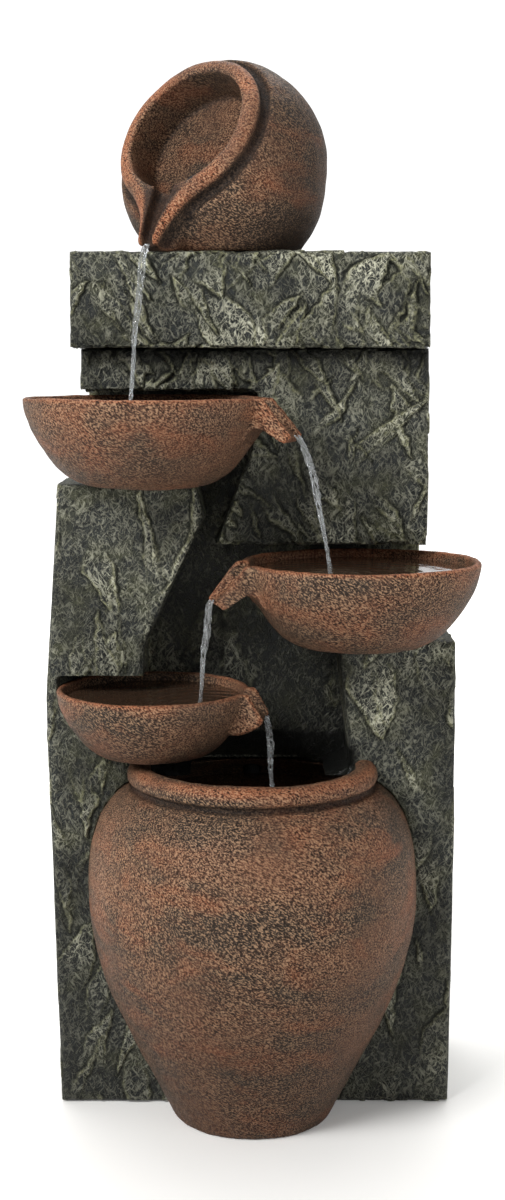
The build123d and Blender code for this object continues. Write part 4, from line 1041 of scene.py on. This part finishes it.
# Still water over a brown bowl: a smooth dark gloss that lets the bowl's inside show through.
pool_water, tree, shader = new_material("pool_water")
shader.inputs["Roughness"].default_value = 0.06
shader.inputs["IOR"].default_value = WATER_IOR
shader.inputs["Specular IOR Level"].default_value = 0.2
shader.inputs["Transmission Weight"].default_value = 0.8
place = add_node(tree, "ShaderNodeTexCoord").outputs["Object"]
stir = add_node(tree, "ShaderNodeTexNoise", {"Vector": place, "Scale": 1 / STIR, "Detail": 2.0})
tone = add_node(tree, "ShaderNodeMix", {
    0: stir.outputs["Fac"], 6: linear("6f5847"), 7: linear("8b6e59")}, data_type="RGBA")
tree.links.new(tone.outputs[2], shader.inputs["Base Color"])
bump = add_node(tree, "ShaderNodeBump", {
    "Height": stir.outputs["Fac"], "Strength": 0.25, "Distance": STIR_HEIGHT})
tree.links.new(bump.outputs["Normal"], shader.inputs["Normal"])

# Falling water: clear, with bright glints, a little greyer where it holds air.
stream_water, tree, shader = new_material("falling_water")
shader.inputs["Roughness"].default_value = 0.04
shader.inputs["IOR"].default_value = WATER_IOR
shader.inputs["Transmission Weight"].default_value = 0.92
place = add_node(tree, "ShaderNodeTexCoord").outputs["Object"]
air = add_node(tree, "ShaderNodeTexNoise", {"Vector": place, "Scale": 1 / AIR, "Detail": 2.0})
tone = add_node(tree, "ShaderNodeMix", {
    0: air.outputs["Fac"], 6: linear("eaf0f3"), 7: linear("ffffff")}, data_type="RGBA")
tree.links.new(tone.outputs[2], shader.inputs["Base Color"])
print(pool_water.name, "and", stream_water.name, "with an IOR of", WATER_IOR)

# %% [markdown]
# Each pool is a round sheet just under its rim, with rings running out from where the stream lands.
# A disc has no points inside to make rings from, so the sheet starts as a grid. What lies outside the
# circle is deleted, the rings are raised, and a Solidify modifier gives it a depth.

# %% Pools
RING_LENGTH = 15 * MM
RING_HEIGHT = 1.1 * MM
RING_FADE = 2.2 * RING_LENGTH
POOL_CELLS = 110
POOL_DEPTH = 3 * MM
UPPER_LANDING = (-110 * MM, -137 * MM, 676 * MM)
MIDDLE_LANDING = (70 * MM, -168 * MM, 527 * MM)
LOWER_LANDING = (-48 * MM, -152 * MM, 405 * MM)
URN_LANDING = (19 * MM, -138 * MM, 305 * MM)


def pool(name, axis, radius, landing):
    bpy.ops.mesh.primitive_grid_add(
        x_subdivisions=POOL_CELLS, y_subdivisions=POOL_CELLS, size=2.04 * radius,
        location=(*axis, landing[2]))
    water = bpy.context.object
    water.name = name
    select_only(water)
    bpy.ops.object.transform_apply(location=True, rotation=True, scale=True)
    bpy.ops.object.mode_set(mode="EDIT")
    bpy.ops.mesh.select_mode(type="VERT")
    bpy.ops.mesh.select_all(action="DESELECT")
    bpy.ops.object.mode_set(mode="OBJECT")
    points = skin_points(water)
    outside = np.hypot(points[:, 0] - axis[0], points[:, 1] - axis[1]) > radius
    water.data.vertices.foreach_set("select", outside)
    bpy.ops.object.mode_set(mode="EDIT")
    bpy.ops.mesh.delete(type="VERT")
    bpy.ops.object.mode_set(mode="OBJECT")
    points = skin_points(water)
    away = np.hypot(points[:, 0] - landing[0], points[:, 1] - landing[1])
    rings = np.cos(2 * math.pi * away / RING_LENGTH) * np.exp(-away / RING_FADE)
    points[:, 2] += RING_HEIGHT * rings
    set_points(water, points)
    body = water.modifiers.new("depth", "SOLIDIFY")
    body.thickness = POOL_DEPTH
    body.offset = -1
    bpy.ops.object.modifier_apply(modifier=body.name)
    bpy.ops.object.shade_smooth()
    paint(water, pool_water)
    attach(water, "tower")
    print(name, len(water.data.polygons), "faces")


pool("upper_pool", UPPER_AXIS, 102 * MM, UPPER_LANDING)
pool("middle_pool", MIDDLE_AXIS, 101 * MM, MIDDLE_LANDING)
pool("lower_pool", LOWER_AXIS, 82 * MM, LOWER_LANDING)
pool("urn_pool", URN_AXIS, 112 * MM, URN_LANDING)

# %% [markdown]
# A falling stream is a few strands that twist round each other and thin out as they speed up. One
# smooth tube would look like glass rod. Each strand is a NURBS path with a round bevel, made into a
# mesh. The path leaves the lip level and follows a throw, so it drops faster and faster.

# %% One strand
STRAND_POINTS = 44
TWIST = 12.0
TWIST_SPREAD = 0.35
BEADS = (0.45, 1.5)


def strand(start, end, phase, swing, thickness, seed):
    """One strand of a stream, from a lip to the water."""
    rng = np.random.default_rng(seed)
    bpy.ops.curve.primitive_nurbs_path_add()
    path = bpy.context.object
    spline = path.data.splines[0]
    spline.points.add(STRAND_POINTS - len(spline.points))
    for i, point in enumerate(spline.points):
        share = i / (STRAND_POINTS - 1)
        across = share ** 0.62
        turn = phase + share * TWIST + rng.normal(0, TWIST_SPREAD)
        wide = swing * (0.5 + 0.5 * math.sin(math.pi * min(1.0, 0.15 + 1.3 * share)))
        point.co = (
            start[0] + (end[0] - start[0]) * across + wide * math.cos(turn),
            start[1] + (end[1] - start[1]) * across + wide * math.sin(turn),
            start[2] + (end[2] - start[2]) * share,
            1.0)
        point.radius = (1.15 - 0.45 * share) * rng.uniform(*BEADS)
    spline.order_u = 3
    spline.use_endpoint_u = True
    path.data.bevel_depth = thickness
    path.data.bevel_resolution = 3
    path.data.use_fill_caps = True
    select_only(path)
    bpy.ops.object.convert(target="MESH")
    return bpy.context.object


print("a strand has", STRAND_POINTS, "points")

# %% [markdown]
# Each stream joins five strands. The thickest runs in the middle, and the thin ones swing round it.

# %% Streams
JAR_TIP = (-95.5 * MM, -101 * MM, 821 * MM)
UPPER_TIP = (39.5 * MM, -158 * MM, 651 * MM)
MIDDLE_TIP = (-36.5 * MM, -152 * MM, 502 * MM)
LOWER_TIP = (13.5 * MM, -124 * MM, 389 * MM)
# Each strand: where its twist starts, how far it swings and how thick it is.
STRANDS = (
    (0.0, 1.6 * MM, 1.0 * MM),
    (1.3, 2.8 * MM, 0.85 * MM),
    (2.5, 3.6 * MM, 0.75 * MM),
    (3.8, 3.2 * MM, 0.7 * MM),
    (5.0, 2.4 * MM, 0.6 * MM),
)


def stream(name, start, end, seed):
    strands = [
        strand(start, end, phase, swing, thickness, seed + i)
        for i, (phase, swing, thickness) in enumerate(STRANDS)]
    select_only(strands[0])
    for other in strands[1:]:
        other.select_set(True)
    bpy.ops.object.join()
    water = bpy.context.object
    water.name = name
    bpy.ops.object.transform_apply(location=True, rotation=True, scale=True)
    bpy.ops.object.shade_smooth()
    paint(water, stream_water)
    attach(water, "tower")
    print(name, len(water.data.polygons), "faces")


stream("jar_stream", JAR_TIP, UPPER_LANDING, 101)
stream("upper_stream", UPPER_TIP, MIDDLE_LANDING, 111)
stream("middle_stream", MIDDLE_TIP, LOWER_LANDING, 121)
stream("lower_stream", LOWER_TIP, URN_LANDING, 131)

# %% [markdown]
# ## Size and finish
# The box round everything that is drawn is printed last.

# %% Finish
low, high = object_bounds()
print("visual box", [round(v, 4) for v in low], [round(v, 4) for v in high])
